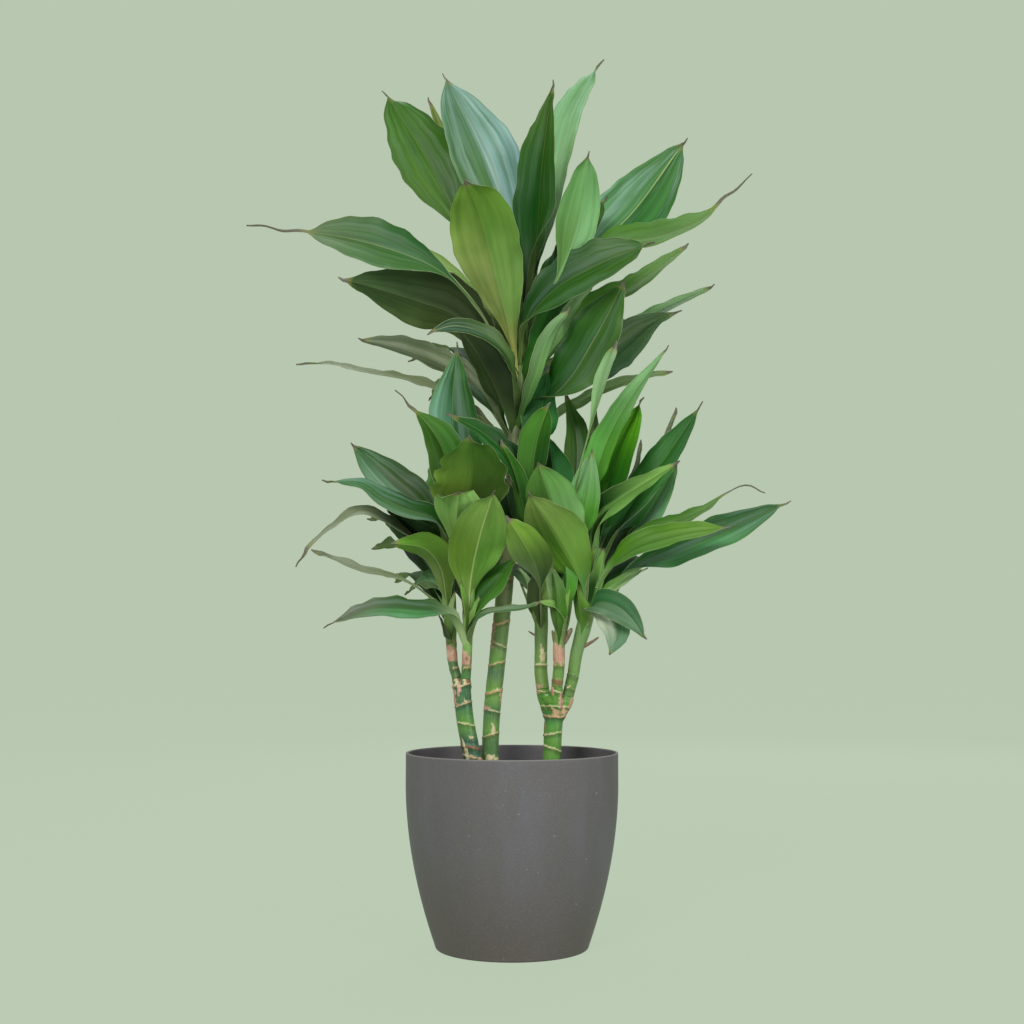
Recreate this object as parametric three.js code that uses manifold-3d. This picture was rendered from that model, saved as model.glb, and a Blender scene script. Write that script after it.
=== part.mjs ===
// A dracaena in a plain round pot: three canes in soil, with six leafy shoots.
// Millimetres, +Z up, front towards -Y. The origin is the centre of the pot's flat underside.
import * as THREE from "three";
import { mergeVertices } from "three/addons/utils/BufferGeometryUtils.js";
import Module from "manifold-3d";

const wasm = await Module();
wasm.setup();

// ---- Driving dimensions ----------------------------------------------------------------------------------

const GAP = 0.3; // clearance between pieces that touch

const POT_HEIGHT = 190;
const RIM_RADIUS = 105;
const POT_WALL = 2.6;
const POT_FLOOR = 3.5;
const BELLY_HEIGHT = 160; // above this the wall is upright
const BELLY_DRAW = 30.5; // how far the wall has drawn in at the foot
const BELLY_POWER = 1.9;
const FOOT_EDGE = 3; // rounding of the foot
const RIM_EDGE = 0.7; // bevel of the rim
const POT_SIDES = 32;
const INNER_BENDS = [30, 80, 140]; // heights at which the inner wall and the soil against it bend

const SOIL_LEVEL = 161; // where the soil meets the wall
const SOIL_CROWN = 5; // how much higher it is in the middle

const EYE_DISTANCE = 1560; // from the eye to the upright plane through the pot's axis
const EYE_HEIGHT = 304;
const EYE_PITCH = THREE.MathUtils.degToRad(4.565); // the eye looks up a little
const MIDDLE_ROW = 436; // the height of the middle of the view, counted from the pot's foot

const BLADE_THICKNESS = 0.9;
const RIB_THICKNESS_LIMIT = 2.2;
const PETIOLE_HALF = 4.6; // half the width of the stalk-like root of a leaf
const TIP_HALF = 0.6;
const TAIL_HALF = 1.5; // how much wider a leaf still is where its dried tip begins
const FULLNESS = 2.7; // a lower figure gives a blunter leaf
const CHANNEL_ANGLE = 66; // how steeply the two halves of a leaf stand at its root
const CHANNEL_SHARES = [0.04, 0.42]; // the stretch of a leaf over which that channel opens
const ROLL_END = 0.45; // a leaf has turned about its rib by this share of its length
const WAVE_DEPTH = 0.045; // margin waves, as a share of the leaf's width
const WAVE_COUNTS = [2.1, 3]; // the fewest and the most waves along a margin
const HAND_SHIFT = 0.4; // how far the two margins' waves are apart, as a share of a wave
const FRONT_PHASE_STEP = 0.37; // sets each leaf's waves apart from those of the leaf before it
const BACK_PHASE_STEP = 0.29;
const STATION_SPACING = 43; // one cross-section of a leaf every so many millimetres
const STATION_COUNTS = [4, 7]; // the fewest and the most steps along a leaf
const ROOT_OFFSET = 0.55; // how far off its shoot's centre line a leaf is rooted, as a share of the radius

// The shoots' centre lines, from the fork upwards: across and up as the front shows them; then forward.
const SHOOT_PATHS = {
  crown_tall: [[1, 470, -8], [4, 520, -6], [8, 580, -3], [12, 645, 0]],
  shoot_left_outer: [[-55, 270, 8], [-59, 285, 6], [-61, 311, 4], [-63, 350, 2], [-67, 402, 0]],
  shoot_left_inner: [[-46, 270, 16], [-45, 290, 19], [-44, 319, 21], [-43, 350, 20], [-47, 430, 16]],
  shoot_right_inner: [[31, 259, -4], [29, 275, -6], [29, 300, -8], [29, 340, -8], [22, 430, 0]],
  shoot_right_middle: [[45, 262, 12], [47, 282, 14], [47, 302, 15], [52, 340, 16], [60, 425, 10]],
  shoot_right_outer: [[56, 252, 2], [61, 272, 2], [65, 296, 3], [74, 330, 4], [86, 400, -2]],
};
// Their radii: at the foot, where the feet of the leaves wrap them, and at the tip.
const SHOOT_RADII = {
  crown_tall: [7.5, 7.5, 5],
  shoot_left_outer: [5, 6.8, 4],
  shoot_left_inner: [4.8, 6, 4],
  shoot_right_inner: [6.4, 7, 4],
  shoot_right_middle: [5.6, 7.6, 4],
  shoot_right_outer: [5.8, 7.6, 4],
};
const WRAP_SHARES = [0.2, 0.5]; // the stretch of a shoot over which the feet of its leaves thicken it
const TAPER_SHARES = [0.6, 1]; // and the one over which it thins again

// One row for each leaf that the front shows: width, V of the blade in degrees, how it faces the front (0 is
// its upper face, 90 its edge, 180 its underside), the share of its length that is stalk, where along it is
// widest, its dry tip as a share of its length, the height of its root, and then the points of its rib:
// across, up, forward.
const FRONT_LEAVES = {
  crown_tall: [
    [70, 12, 20, 0.4, 0.66, 0.03, 604, [-34, 690, -8], [-62, 745, -16], [-92, 800, -28], [-129, 858, -45]],
    [70, 10, 18, 0, 0.62, 0.03, 626, [2, 700, -4], [-12, 745, -8], [-31, 795, -16], [-69, 875, -30]],
    [22, 20, 30, 0, 0.55, 0.03, 608, [-35, 715, -40], [-65, 800, -62], [-84, 851, -75]],
    [66, 14, 172, 0.08, 0.7, 0.02, 563, [-2, 612, 25], [-18, 676, 60], [-32, 730, 90], [-47, 769, 122]],
    [52, 36, 25, 0, 0.52, 0.04, 638, [20, 660, 0], [26, 721, 4], [29, 770, 6], [41, 868, -5]],
    [38, 14, 30, 0, 0.68, 0.03, 632, [30, 700, -45], [45, 785, -88], [58, 835, -112], [91, 889, -138]],
    [42, 16, 160, 0.34, 0.66, 0.02, 624, [44, 666, 50], [60, 704, 50], [70, 742, 54], [77, 797, 70]],
    [72, 12, 18, 0, 0.6, 0.03, 600, [62, 678, -38], [119, 734, -54], [175, 810, -80]],
    [34, 20, 40, 0.1, 0.7, 0.03, 612, [58, 692, -20], [80, 728, -20], [96, 752, -20]],
    [38, 16, 48, 0.3, 0.62, 0.18, 592,
      [64, 668, 26], [106, 704, 36], [150, 714, 40], [192, 731, 40], [214, 752, 38], [239, 773, 32]],
    [54, 14, 36, 0.12, 0.62, 0.03, 578, [14, 622, 30], [40, 656, 48], [88, 684, 62], [143, 706, 74]],
    [25, 16, 45, 0, 0.6, 0.03, 583, [70, 639, -32], [118, 661, -46], [177, 704, -62]],
    [56, 14, 22, 0, 0.58, 0.02, 533, [50, 560, 22], [84, 612, 40], [113, 667, 58]],
    [17, 16, 45, 0, 0.6, 0.03, 573, [90, 608, -50], [145, 635, -62], [203, 663, -80]],
    [50, 16, 28, 0, 0.52, 0.05, 539, [58, 564, -18], [106, 600, -28], [140, 625, -34], [170, 638, -38]],
    [20, 20, 55, 0, 0.6, 0.03, 503, [60, 540, -36], [100, 560, -46], [161, 577, -56]],
    [40, 24, 160, 0, 0.52, 0.03, 499, [24, 505, 12], [31, 545, 18], [37, 581, 22]],
    [16, 20, 150, 0, 0.6, 0.03, 517, [22, 568, 42], [36, 610, 52], [58, 641, 58]],
    [14, 20, 150, 0, 0.6, 0.03, 554, [42, 602, 28], [60, 640, 34], [82, 664, 40]],
    [30, 16, 150, 0, 0.6, 0.03, 559, [32, 615, 20], [50, 655, 26], [58, 690, 30]],
    [52, 14, 34, 0.4, 0.72, 0.2, 569,
      [-14, 604, 30], [-34, 638, 42], [-72, 677, 42], [-137, 703, 34], [-211, 717, 16], [-264, 721, 0]],
    [22, 14, 46, 0, 0.6, 0.03, 589, [-60, 672, -42], [-120, 706, -48], [-176, 728, -52]],
    [68, 14, 148, 0.1, 0.58, 0.04, 544,
      [-25, 600, 14], [-56, 632, 20], [-92, 646, 24], [-136, 660, 24], [-174, 670, 20]],
    [44, 14, 52, 0, 0.55, 0.03, 578, [-50, 650, -18], [-95, 674, -26], [-145, 688, -34]],
    [19, 18, 50, 0, 0.6, 0.03, 529,
      [-4, 590, 60], [-20, 608, 72], [-40, 619, 80], [-61, 622, 86], [-85, 614, 92]],
    [38, 16, 128, 0.1, 0.58, 0.03, 503,
      [-31, 558, -18], [-66, 582, -34], [-108, 599, -44], [-154, 609, -52]],
    [17, 20, 60, 0, 0.45, 0.05, 497,
      [-62, 552, -34], [-100, 567, -42], [-146, 576, -48], [-180, 584, -52], [-216, 584, -54]],
    [44, 16, 140, 0, 0.55, 0.03, 510, [-16, 560, 22], [-38, 600, 36], [-60, 628, 44]],
  ],
  shoot_left_outer: [
    [46, 14, 28, 0, 0.55, 0.03, 385, [-88, 432, 2], [-120, 464, -2], [-161, 505, -12]],
    [27, 14, 46, 0, 0.52, 0.05, 382,
      [-76, 427, 28], [-104, 438, 36], [-131, 450, 38], [-151, 463, 40], [-190, 467, 42]],
    [42, 14, 140, 0, 0.58, 0.03, 370, [-86, 408, 10], [-104, 426, 8], [-127, 442, 4]],
    [30, 14, 50, 0, 0.55, 0.03, 362, [-88, 398, -14], [-108, 412, -20], [-128, 428, -26]],
    [19, 14, 60, 0, 0.45, 0.12, 352,
      [-95, 403, 2], [-125, 427, 10], [-150, 437, 16], [-186, 417, 22], [-206, 398, 24], [-214, 380, 26]],
    [36, 16, 140, 0.22, 0.64, 0.03, 311, [-66, 352, 14], [-72, 382, 16], [-88, 400, 22], [-121, 405, 34]],
    [13, 20, 60, 0.34, 0.6, 0.03, 325, [-80, 348, 8], [-105, 366, 6], [-150, 378, 4], [-201, 398, 0]],
    [34, 16, 50, 0, 0.5, 0.03, 340, [-74, 362, -8], [-88, 366, -14], [-107, 353, -18]],
  ],
  shoot_left_inner: [
    [56, 16, 18, 0, 0.54, 0.05, 408, [-57, 480, -6], [-60, 545, -8], [-54, 606, -10]],
    [44, 16, 30, 0, 0.62, 0.17, 388, [-60, 450, 18], [-70, 500, 20], [-90, 530, 20], [-118, 557, 20]],
    [72, 12, 176, 0, 0.7, 0.02, 380, [-46, 432, 46], [-40, 476, 84], [-42, 513, 114]],
    [56, 14, 168, 0.05, 0.58, 0.03, 326, [-41, 368, 32], [-33, 408, 62], [-18, 458, 102]],
    [46, 14, 172, 0.25, 0.84, 0.01, 342, [-52, 390, 36], [-55, 425, 60], [-53, 456, 84]],
    [26, 14, 40, 0, 0.5, 0.06, 300, [-64, 331, 38], [-98, 338, 44], [-145, 338, 48], [-189, 321, 52]],
    [38, 16, 46, 0, 0.54, 0.03, 306, [-34, 341, 22], [-16, 364, 22], [4, 391, 16]],
    [28, 16, 50, 0, 0.52, 0.03, 314, [-34, 350, 6], [-22, 372, 6], [-10, 392, 4]],
    [9, 20, 50, 0, 0.5, 0.03, 302, [-32, 332, 36], [-8, 338, 38], [12, 340, 38], [28, 346, 36]],
  ],
  shoot_right_inner: [
    [36, 16, 160, 0.06, 0.56, 0.03, 356, [16, 392, 10], [1, 430, 19], [-8, 472, 22]],
    [14, 20, 50, 0, 0.5, 0.03, 332, [22, 358, -6], [10, 368, 2], [-4, 378, 8]],
    [24, 18, 150, 0, 0.55, 0.03, 318, [33, 345, -2], [39, 372, 6], [43, 400, 8]],
    [38, 16, 160, 0.34, 0.68, 0.03, 316, [29, 350, 20], [25, 378, 62], [11, 406, 94], [-6, 432, 112]],
    [34, 28, 165, 0.1, 0.66, 0.03, 424, [20, 470, 38], [26, 512, 56], [38, 546, 66]],
    [24, 16, 140, 0, 0.5, 0.03, 390, [12, 440, 38], [2, 478, 46], [-12, 508, 50]],
    [32, 16, 46, 0, 0.5, 0.05, 412, [-4, 490, 44], [-28, 514, 52], [-66, 535, 60]],
  ],
  shoot_right_middle: [
    [54, 14, 165, 0.05, 0.6, 0.02, 365, [50, 412, 44], [38, 450, 66], [26, 486, 86]],
    [34, 16, 170, 0, 0.56, 0.03, 380, [68, 430, 50], [75, 466, 54], [80, 499, 54]],
    [30, 18, 26, 0, 0.56, 0.04, 406, [64, 470, -10], [64, 512, -16], [53, 556, -22]],
    [18, 18, 30, 0, 0.56, 0.03, 419, [76, 465, -22], [81, 500, -28], [85, 539, -34]],
    [10, 24, 20, 0.55, 0.82, 0.03, 405, [66, 470, 60], [80, 528, 66], [90, 570, 70], [105, 607, 74]],
    [38, 16, 150, 0, 0.56, 0.03, 400, [44, 440, 16], [41, 480, 18], [35, 515, 16]],
    [28, 20, 150, 0, 0.45, 0.03, 390, [78, 455, 36], [95, 508, 38], [118, 550, 30], [157, 602, 10]],
  ],
  shoot_right_outer: [
    [56, 14, 165, 0.1, 0.58, 0.03, 334, [70, 362, 26], [48, 404, 58], [16, 456, 106]],
    [50, 16, 35, 0, 0.56, 0.03, 375, [90, 440, 14], [108, 500, 14], [131, 551, 4]],
    [38, 14, 32, 0, 0.56, 0.05, 368, [112, 430, -22], [152, 488, -34], [191, 546, -48]],
    [38, 14, 40, 0, 0.6, 0.03, 352, [112, 400, -38], [140, 438, -48], [166, 486, -58]],
    [26, 16, 148, 0.15, 0.54, 0.04, 360, [82, 428, 26], [104, 447, 42], [135, 467, 56], [168, 487, 62]],
    [22, 14, 48, 0.25, 0.56, 0.24, 365,
      [122, 408, 10], [165, 426, 14], [194, 439, 16], [214, 455, 16], [228, 461, 14], [253, 456, 12]],
    [30, 14, 42, 0.1, 0.58, 0.03, 345, [98, 378, 44], [122, 400, 58], [168, 414, 68], [219, 421, 74]],
    [46, 14, 42, 0.15, 0.56, 0.03, 340, [114, 372, 14], [160, 393, 22], [215, 416, 28], [279, 447, 32]],
    [18, 16, 50, 0, 0.5, 0.03, 330, [98, 356, 26], [115, 369, 30], [136, 380, 34]],
    [28, 14, 20, 0.05, 0.52, 0.03, 322, [86, 345, 44], [107, 340, 56], [123, 325, 64], [134, 308, 70]],
    [32, 14, 22, 0, 0.55, 0.03, 318, [86, 336, 28], [98, 330, 38], [104, 313, 48], [97, 293, 54]],
    [10, 16, 50, 0, 0.5, 0.03, 395, [112, 450, -50], [126, 485, -54], [129, 508, -56]],
    [14, 16, 50, 0, 0.5, 0.03, 380, [125, 450, -70], [150, 500, -74], [165, 540, -76]],
  ],
};

// One row for each leaf on the far side: the height of its root, its bearing (0 is +X, 90 is straight back),
// how steeply it rises, its length and its width.
const BACK_LEAVES = {
  crown_tall: [
    [503, 118, 26, 230, 42], [511, 70, 28, 235, 44], [520, 95, 30, 240, 46], [531, 128, 30, 220, 42],
    [541, 50, 36, 245, 46], [552, 108, 40, 255, 52], [562, 78, 44, 255, 50], [571, 112, 48, 240, 48],
    [583, 56, 46, 240, 46], [595, 94, 50, 265, 56], [604, 112, 61, 260, 50], [617, 84, 68, 255, 50],
  ],
  shoot_left_outer: [
    [325, 118, 24, 150, 30], [334, 130, 34, 160, 32], [347, 104, 32, 160, 34],
    [356, 130, 36, 170, 36], [372, 116, 48, 165, 38], [386, 96, 58, 160, 34],
  ],
  shoot_left_inner: [
    [326, 100, 24, 150, 32], [345, 88, 36, 160, 36], [362, 78, 42, 165, 38], [388, 80, 52, 160, 36],
  ],
  shoot_right_inner: [
    [330, 104, 28, 150, 30], [350, 114, 34, 150, 32], [368, 98, 42, 160, 34], [395, 92, 56, 150, 32],
  ],
  shoot_right_middle: [[350, 84, 32, 150, 32], [372, 90, 46, 160, 36], [392, 98, 58, 150, 34]],
  shoot_right_outer: [
    [320, 72, 22, 150, 30], [332, 44, 30, 140, 30], [342, 90, 32, 160, 34],
    [352, 58, 40, 150, 32], [374, 76, 50, 160, 36], [390, 62, 60, 150, 32],
  ],
};
const BACK_LEAF = { fold: 14, stalk: 0.05, widest: 0.57, dry: 0.04 };
const BACK_TURN = 36; // the spread of the turns of the far leaves about their ribs, in degrees
const BACK_LIFT = 14; // how much steeper a far leaf leaves its shoot
const BACK_DROOP = 32; // how much its slope falls towards its tip

// The canes' centre lines, from below the soil to the fork, their radius, and the heights of their scars.
const CANES = {
  cane_left: {
    path: [[-20, 66, 10], [-31, 145, 10], [-39, 189, 10], [-46.5, 226, 10], [-50, 258, 10]],
    radius: 8.7,
    scars: [195, 212, 244],
    callus: [[-50, 262, 10, 10.5, 6]],
    forks: ["shoot_left_outer", "shoot_left_inner"],
  },
  cane_centre: {
    path: [
      [-27, 66, -15], [-23, 150, -15], [-22, 189, -15], [-20, 235, -15],
      [-13, 304, -15], [-8, 353, -14], [-1, 462, -9],
    ],
    radius: 8.5,
    scars: [213, 239.5, 284, 325, 366, 410, 450],
    callus: [],
    forks: ["crown_tall"],
  },
  cane_right: {
    path: [[35, 66, 5], [38, 150, 5], [39.6, 189, 5], [41, 215, 5], [43, 242, 5]],
    radius: 9,
    scars: [198, 214, 232],
    callus: [[43, 247, 4, 14, 7]],
    forks: ["shoot_right_inner", "shoot_right_middle", "shoot_right_outer"],
  },
};
const SCAR_RAISE = 0.9; // how far a leaf scar stands out
const SCAR_HALF_HEIGHT = 1.6;
const CALLUS_DEPTH = 0.9; // a callus is a little shallower than it is wide
const FORK_STUB = 7; // length of each branch that stays with its cane
const STUB_SINK = 9; // how far that branch starts inside the callus
const FORK_FLARE = 0.5; // how much wider it ends
const CANE_SIDES = 10;
const CANE_STEPS = 7;
const HOLE_STEPS = 9;
const SHOOT_SIDES = 8;
const SHOOT_STEPS = 6;
const STUB_SIDES = 6;

// Dried stubs of old side shoots: the shoot they stand on, base, tip, base radius and tip radius.
const DRY_STUBS = [
  { shoot: "shoot_right_outer", from: [70, 306, 4], to: [87, 311, 8], radii: [2.4, 1.1] },
  { shoot: "shoot_right_inner", from: [27, 313, -7], to: [16, 316, -5], radii: [1.4, 0.7] },
  { shoot: "shoot_right_middle", from: [44, 312, 15], to: [39, 319, 17], radii: [1.9, 0.9] },
];

// ---- Placing ---------------------------------------------------------------------------------------------

const UP = new THREE.Vector3(0, 0, 1);
const CURVE_SAMPLES = 400;
const smoothstep = THREE.MathUtils.smoothstep;
const lerp = THREE.MathUtils.lerp;

// Turns a place as seen from the front into a point: the sight line through it, followed to its depth.
function place([across, up, forward]) {
  const side = across / EYE_DISTANCE;
  const rise = (up - MIDDLE_ROW) / EYE_DISTANCE;
  const ahead = Math.cos(EYE_PITCH) - rise * Math.sin(EYE_PITCH);
  const climb = Math.sin(EYE_PITCH) + rise * Math.cos(EYE_PITCH);
  const reach = (EYE_DISTANCE - forward) / ahead;
  return new THREE.Vector3(side * reach, -forward, EYE_HEIGHT + climb * reach);
}

function smoothCurve(points) {
  return new THREE.CatmullRomCurve3(points, false, "centripetal");
}

// The point where a rising curve passes the height that shows as `up` on the axis plane.
function pointAtHeight(curve, up) {
  const height = place([0, up, 0]).z;
  const samples = curve.getSpacedPoints(CURVE_SAMPLES);
  return samples.reduce((best, point) =>
    Math.abs(point.z - height) < Math.abs(best.z - height) ? point : best);
}

// ---- Solids ----------------------------------------------------------------------------------------------

// Joins rings of equal count into one closed body. Rings run counter-clockwise about the way they advance.
// `cap` holds the triangles of an end ring. Quads that start at a corner in `flipped` are split the other
// way.
function sweep(rings, cap, flipped = []) {
  const count = rings[0].length;
  const positions = rings.flat().flatMap((point) => [point.x, point.y, point.z]);
  const index = [];
  for (let i = 0; i < rings.length - 1; i++) {
    for (let j = 0; j < count; j++) {
      const a = i * count + j;
      const b = i * count + (j + 1) % count;
      const c = b + count;
      const d = a + count;
      if (flipped.includes(j)) index.push(a, b, d, b, c, d);
      else index.push(a, b, c, a, c, d);
    }
  }
  const last = (rings.length - 1) * count;
  for (const [a, b, c] of cap) {
    index.push(c, b, a);
    index.push(last + a, last + b, last + c);
  }
  const geometry = new THREE.BufferGeometry();
  geometry.setAttribute("position", new THREE.Float32BufferAttribute(positions, 3));
  geometry.setIndex(index);
  return geometry;
}

function roundCap(sides) {
  return Array.from({ length: sides - 2 }, (_, j) => [0, j + 1, j + 2]);
}

function toSolid(geometry) {
  const bare = geometry.clone();
  bare.deleteAttribute("normal");
  bare.deleteAttribute("uv");
  const merged = mergeVertices(bare, 1e-4);
  const corners = Array.from(merged.index.array);
  const triVerts = [];
  for (let i = 0; i < corners.length; i += 3) {
    const [a, b, c] = corners.slice(i, i + 3);
    if (a !== b && b !== c && c !== a) triVerts.push(a, b, c);
  }
  return new wasm.Manifold(new wasm.Mesh({
    numProp: 3,
    vertProperties: new Float32Array(merged.attributes.position.array),
    triVerts: new Uint32Array(triVerts),
  }));
}

function toGeometry(solid) {
  const mesh = solid.getMesh();
  const geometry = new THREE.BufferGeometry();
  geometry.setAttribute("position", new THREE.Float32BufferAttribute(mesh.vertProperties, 3));
  geometry.setIndex(Array.from(mesh.triVerts));
  return geometry;
}

// Fuses pieces into one body. Hollows sealed between pieces are filled, and loose scraps are dropped.
function fuse(geometries) {
  const [first, ...others] = geometries.map(toSolid);
  const shells = others.reduce((body, piece) => body.add(piece), first).decompose();
  return toGeometry(shells.reduce((largest, shell) => shell.volume() > largest.volume() ? shell : largest));
}

// ---- Stems -----------------------------------------------------------------------------------------------

// A round stem along a curve. radiusAt gives the radius at each share of its length.
function stem(curve, stations, radiusAt, sides = CANE_SIDES) {
  const rings = stations.map((t) => {
    const centre = curve.getPointAt(t);
    const along = curve.getTangentAt(t);
    const across = new THREE.Vector3(1, 0, 0).addScaledVector(along, -along.x).normalize();
    const forward = new THREE.Vector3().crossVectors(along, across);
    const radius = radiusAt(t);
    return Array.from({ length: sides }, (_, j) => {
      const angle = 2 * Math.PI * j / sides;
      return centre.clone()
        .addScaledVector(across, radius * Math.cos(angle))
        .addScaledVector(forward, radius * Math.sin(angle));
    });
  });
  return sweep(rings, roundCap(sides));
}

// The radius of a shoot at share t of its length.
function shootRadius(name, t) {
  const [foot, wrapped, tip] = SHOOT_RADII[name];
  return lerp(lerp(foot, wrapped, smoothstep(t, ...WRAP_SHARES)), tip, smoothstep(t, ...TAPER_SHARES));
}

function evenStations(count) {
  return Array.from({ length: count + 1 }, (_, i) => i / count);
}

// Stations along a cane, with three at each scar so that it stands out as a ring.
function caneStations(curve, scars) {
  const length = curve.getLength();
  const marks = scars.map((up) => shareAtHeight(curve, up));
  const half = SCAR_HALF_HEIGHT / length;
  const rings = marks.flatMap((t) => [t - half, t, t + half]);
  const isClear = (t) => marks.every((mark) => Math.abs(mark - t) > 3 * half);
  const between = evenStations(CANE_STEPS).filter(isClear);
  return { marks, stations: [...rings, ...between].filter((t) => t >= 0 && t <= 1).sort((a, b) => a - b) };
}

function shareAtHeight(curve, up) {
  const height = place([0, up, 0]).z;
  return evenStations(CURVE_SAMPLES).reduce((best, t) =>
    Math.abs(curve.getPointAt(t).z - height) < Math.abs(curve.getPointAt(best).z - height) ? t : best);
}

function cane({ path, radius, scars, callus, forks }) {
  const curve = smoothCurve(path.map(place));
  const { marks, stations } = caneStations(curve, scars);
  const radiusAt = (t) => radius + (marks.includes(t) ? SCAR_RAISE : 0);
  const pieces = [stem(curve, stations, radiusAt)];
  for (const [across, up, forward, halfWidth, halfHeight] of callus) {
    const knob = new THREE.IcosahedronGeometry(1, 1);
    knob.scale(halfWidth, halfWidth * CALLUS_DEPTH, halfHeight);
    const centre = place([across, up, forward]);
    pieces.push(knob.translate(centre.x, centre.y, centre.z));
  }
  for (const name of forks) pieces.push(forkStub(name));
  return fuse(pieces);
}

// The short branch under each shoot. It ends flat, just clear of the shoot's own flat foot.
function forkStub(name) {
  const path = smoothCurve(SHOOT_PATHS[name].map(place));
  const along = path.getTangentAt(0);
  const end = path.getPointAt(0).addScaledVector(along, -GAP);
  const start = end.clone().addScaledVector(along, -FORK_STUB - STUB_SINK);
  const radius = SHOOT_RADII[name][0];
  const radiusAt = (t) => radius + (t < 1 ? 0 : FORK_FLARE);
  return stem(new THREE.LineCurve3(start, end), [0, 0.8, 1], radiusAt, SHOOT_SIDES);
}

// ---- Leaves ----------------------------------------------------------------------------------------------

// Half the width of a blade at share t of its length: a slender stalk, a full middle and a drawn-out tip.
function halfWidth(t, { width, stalk, widest, dry }) {
  const s = Math.min(t / (1 - dry), 1);
  const b = s < widest ? widest * Math.max(0, (s - stalk) / (widest - stalk)) : s;
  const lobe = (b / widest) ** (FULLNESS * widest) * ((1 - b) / (1 - widest)) ** (FULLNESS * (1 - widest));
  const tail = Math.min((1 - t) / dry, 1) * smoothstep(t, 0.5, 0.9);
  return width / 2 * lobe + PETIOLE_HALF * (1 - s) ** 4 + TAIL_HALF * tail + TIP_HALF;
}

// How a leaf lies by nature at share t: its side is level, and its upper face looks up or inwards.
function naturalFrame(rib, t) {
  const bearing = rib.getPointAt(1).sub(rib.getPointAt(0)).setZ(0).normalize();
  const level = new THREE.Vector3(-bearing.y, bearing.x, 0);
  const along = rib.getTangentAt(t);
  const side = level.addScaledVector(along, -level.dot(along)).normalize();
  const face = new THREE.Vector3().crossVectors(along, side);
  return { along, side, face };
}

// How far a leaf is turned about its rib, from its natural lie, to face the front as its row says.
function turnToFace(rib, facing, widest) {
  const { along, face } = naturalFrame(rib, widest);
  const eye = new THREE.Vector3(0, -EYE_DISTANCE, EYE_HEIGHT).sub(rib.getPointAt(widest));
  eye.addScaledVector(along, -eye.dot(along)).normalize();
  const swing = new THREE.Vector3().crossVectors(eye, face).dot(along);
  const lie = THREE.MathUtils.radToDeg(Math.atan2(swing, eye.dot(face)));
  const turn = (lie < 0 ? -facing : facing) - lie;
  return THREE.MathUtils.euclideanModulo(turn + 180, 360) - 180;
}

const BLADE_CAP = [[0, 1, 2], [0, 2, 5], [5, 2, 3], [5, 3, 4]];
const BLADE_FLIPPED = [4, 5];

function leaf({ rib, turn, phase, ...shape }) {
  const { width, fold } = shape;
  const length = rib.getLength();
  const count = THREE.MathUtils.clamp(Math.round(length / STATION_SPACING), ...STATION_COUNTS);
  const waves = lerp(...WAVE_COUNTS, phase);
  const rings = evenStations(count).map((t) => {
    const centre = rib.getPointAt(t);
    const { along, side, face } = naturalFrame(rib, t);
    const roll = THREE.MathUtils.degToRad(turn) * smoothstep(t, 0, ROLL_END);
    side.applyAxisAngle(along, roll);
    face.applyAxisAngle(along, roll);
    const lift = THREE.MathUtils.degToRad(lerp(CHANNEL_ANGLE, fold, smoothstep(t, ...CHANNEL_SHARES)));
    const half = halfWidth(t, shape);
    const edge = (hand) => {
      const swing = Math.sin(2 * Math.PI * (waves * t + phase + HAND_SHIFT * hand));
      const wave = WAVE_DEPTH * width * Math.sin(Math.PI * t) * swing;
      const middle = centre.clone()
        .addScaledVector(side, hand * half * Math.cos(lift))
        .addScaledVector(face, half * Math.sin(lift) + wave);
      const outward = face.clone().multiplyScalar(Math.cos(lift));
      outward.addScaledVector(side, -hand * Math.sin(lift));
      return [1, -1].map((up) => middle.clone().addScaledVector(outward, up * BLADE_THICKNESS / 2));
    };
    const ribHalf = Math.min(BLADE_THICKNESS / Math.cos(lift), RIB_THICKNESS_LIMIT) / 2;
    const [leftTop, leftUnder] = edge(-1);
    const [rightTop, rightUnder] = edge(1);
    const ribUnder = centre.clone().addScaledVector(face, -ribHalf);
    const ribTop = centre.clone().addScaledVector(face, ribHalf);
    return [leftTop, leftUnder, ribUnder, rightUnder, rightTop, ribTop];
  });
  return sweep(rings, BLADE_CAP, BLADE_FLIPPED);
}

// Where a leaf is rooted: inside its shoot, towards the side that it grows out of.
function rootPoint(name, shootCurve, height, towards) {
  const centre = pointAtHeight(shootCurve, height);
  const outward = towards.clone().sub(centre).setZ(0).normalize();
  return centre.addScaledVector(outward, ROOT_OFFSET * SHOOT_RADII[name][1]);
}

function frontLeaves(name, shootCurve) {
  return FRONT_LEAVES[name].map(([width, fold, facing, stalk, widest, dry, root, ...places], i) => {
    const points = places.map(place);
    const rib = smoothCurve([rootPoint(name, shootCurve, root, points[0]), ...points]);
    const turn = turnToFace(rib, facing, widest);
    return leaf({ rib, width, fold, stalk, widest, dry, turn, phase: (FRONT_PHASE_STEP * (i + 1)) % 1 });
  });
}

function backLeaves(name, shootCurve) {
  return BACK_LEAVES[name].map(([height, bearing, rise, length, width], i) => {
    const outward = new THREE.Vector3(1, 0, 0).applyAxisAngle(UP, THREE.MathUtils.degToRad(bearing));
    const root = rootPoint(name, shootCurve, height, outward.clone().multiplyScalar(length));
    const rib = smoothCurve(archedRib(root, outward, rise, length));
    const phase = (BACK_PHASE_STEP * (i + 2)) % 1;
    return leaf({ ...BACK_LEAF, rib, width, turn: BACK_TURN * (phase - 0.5), phase });
  });
}

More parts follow.
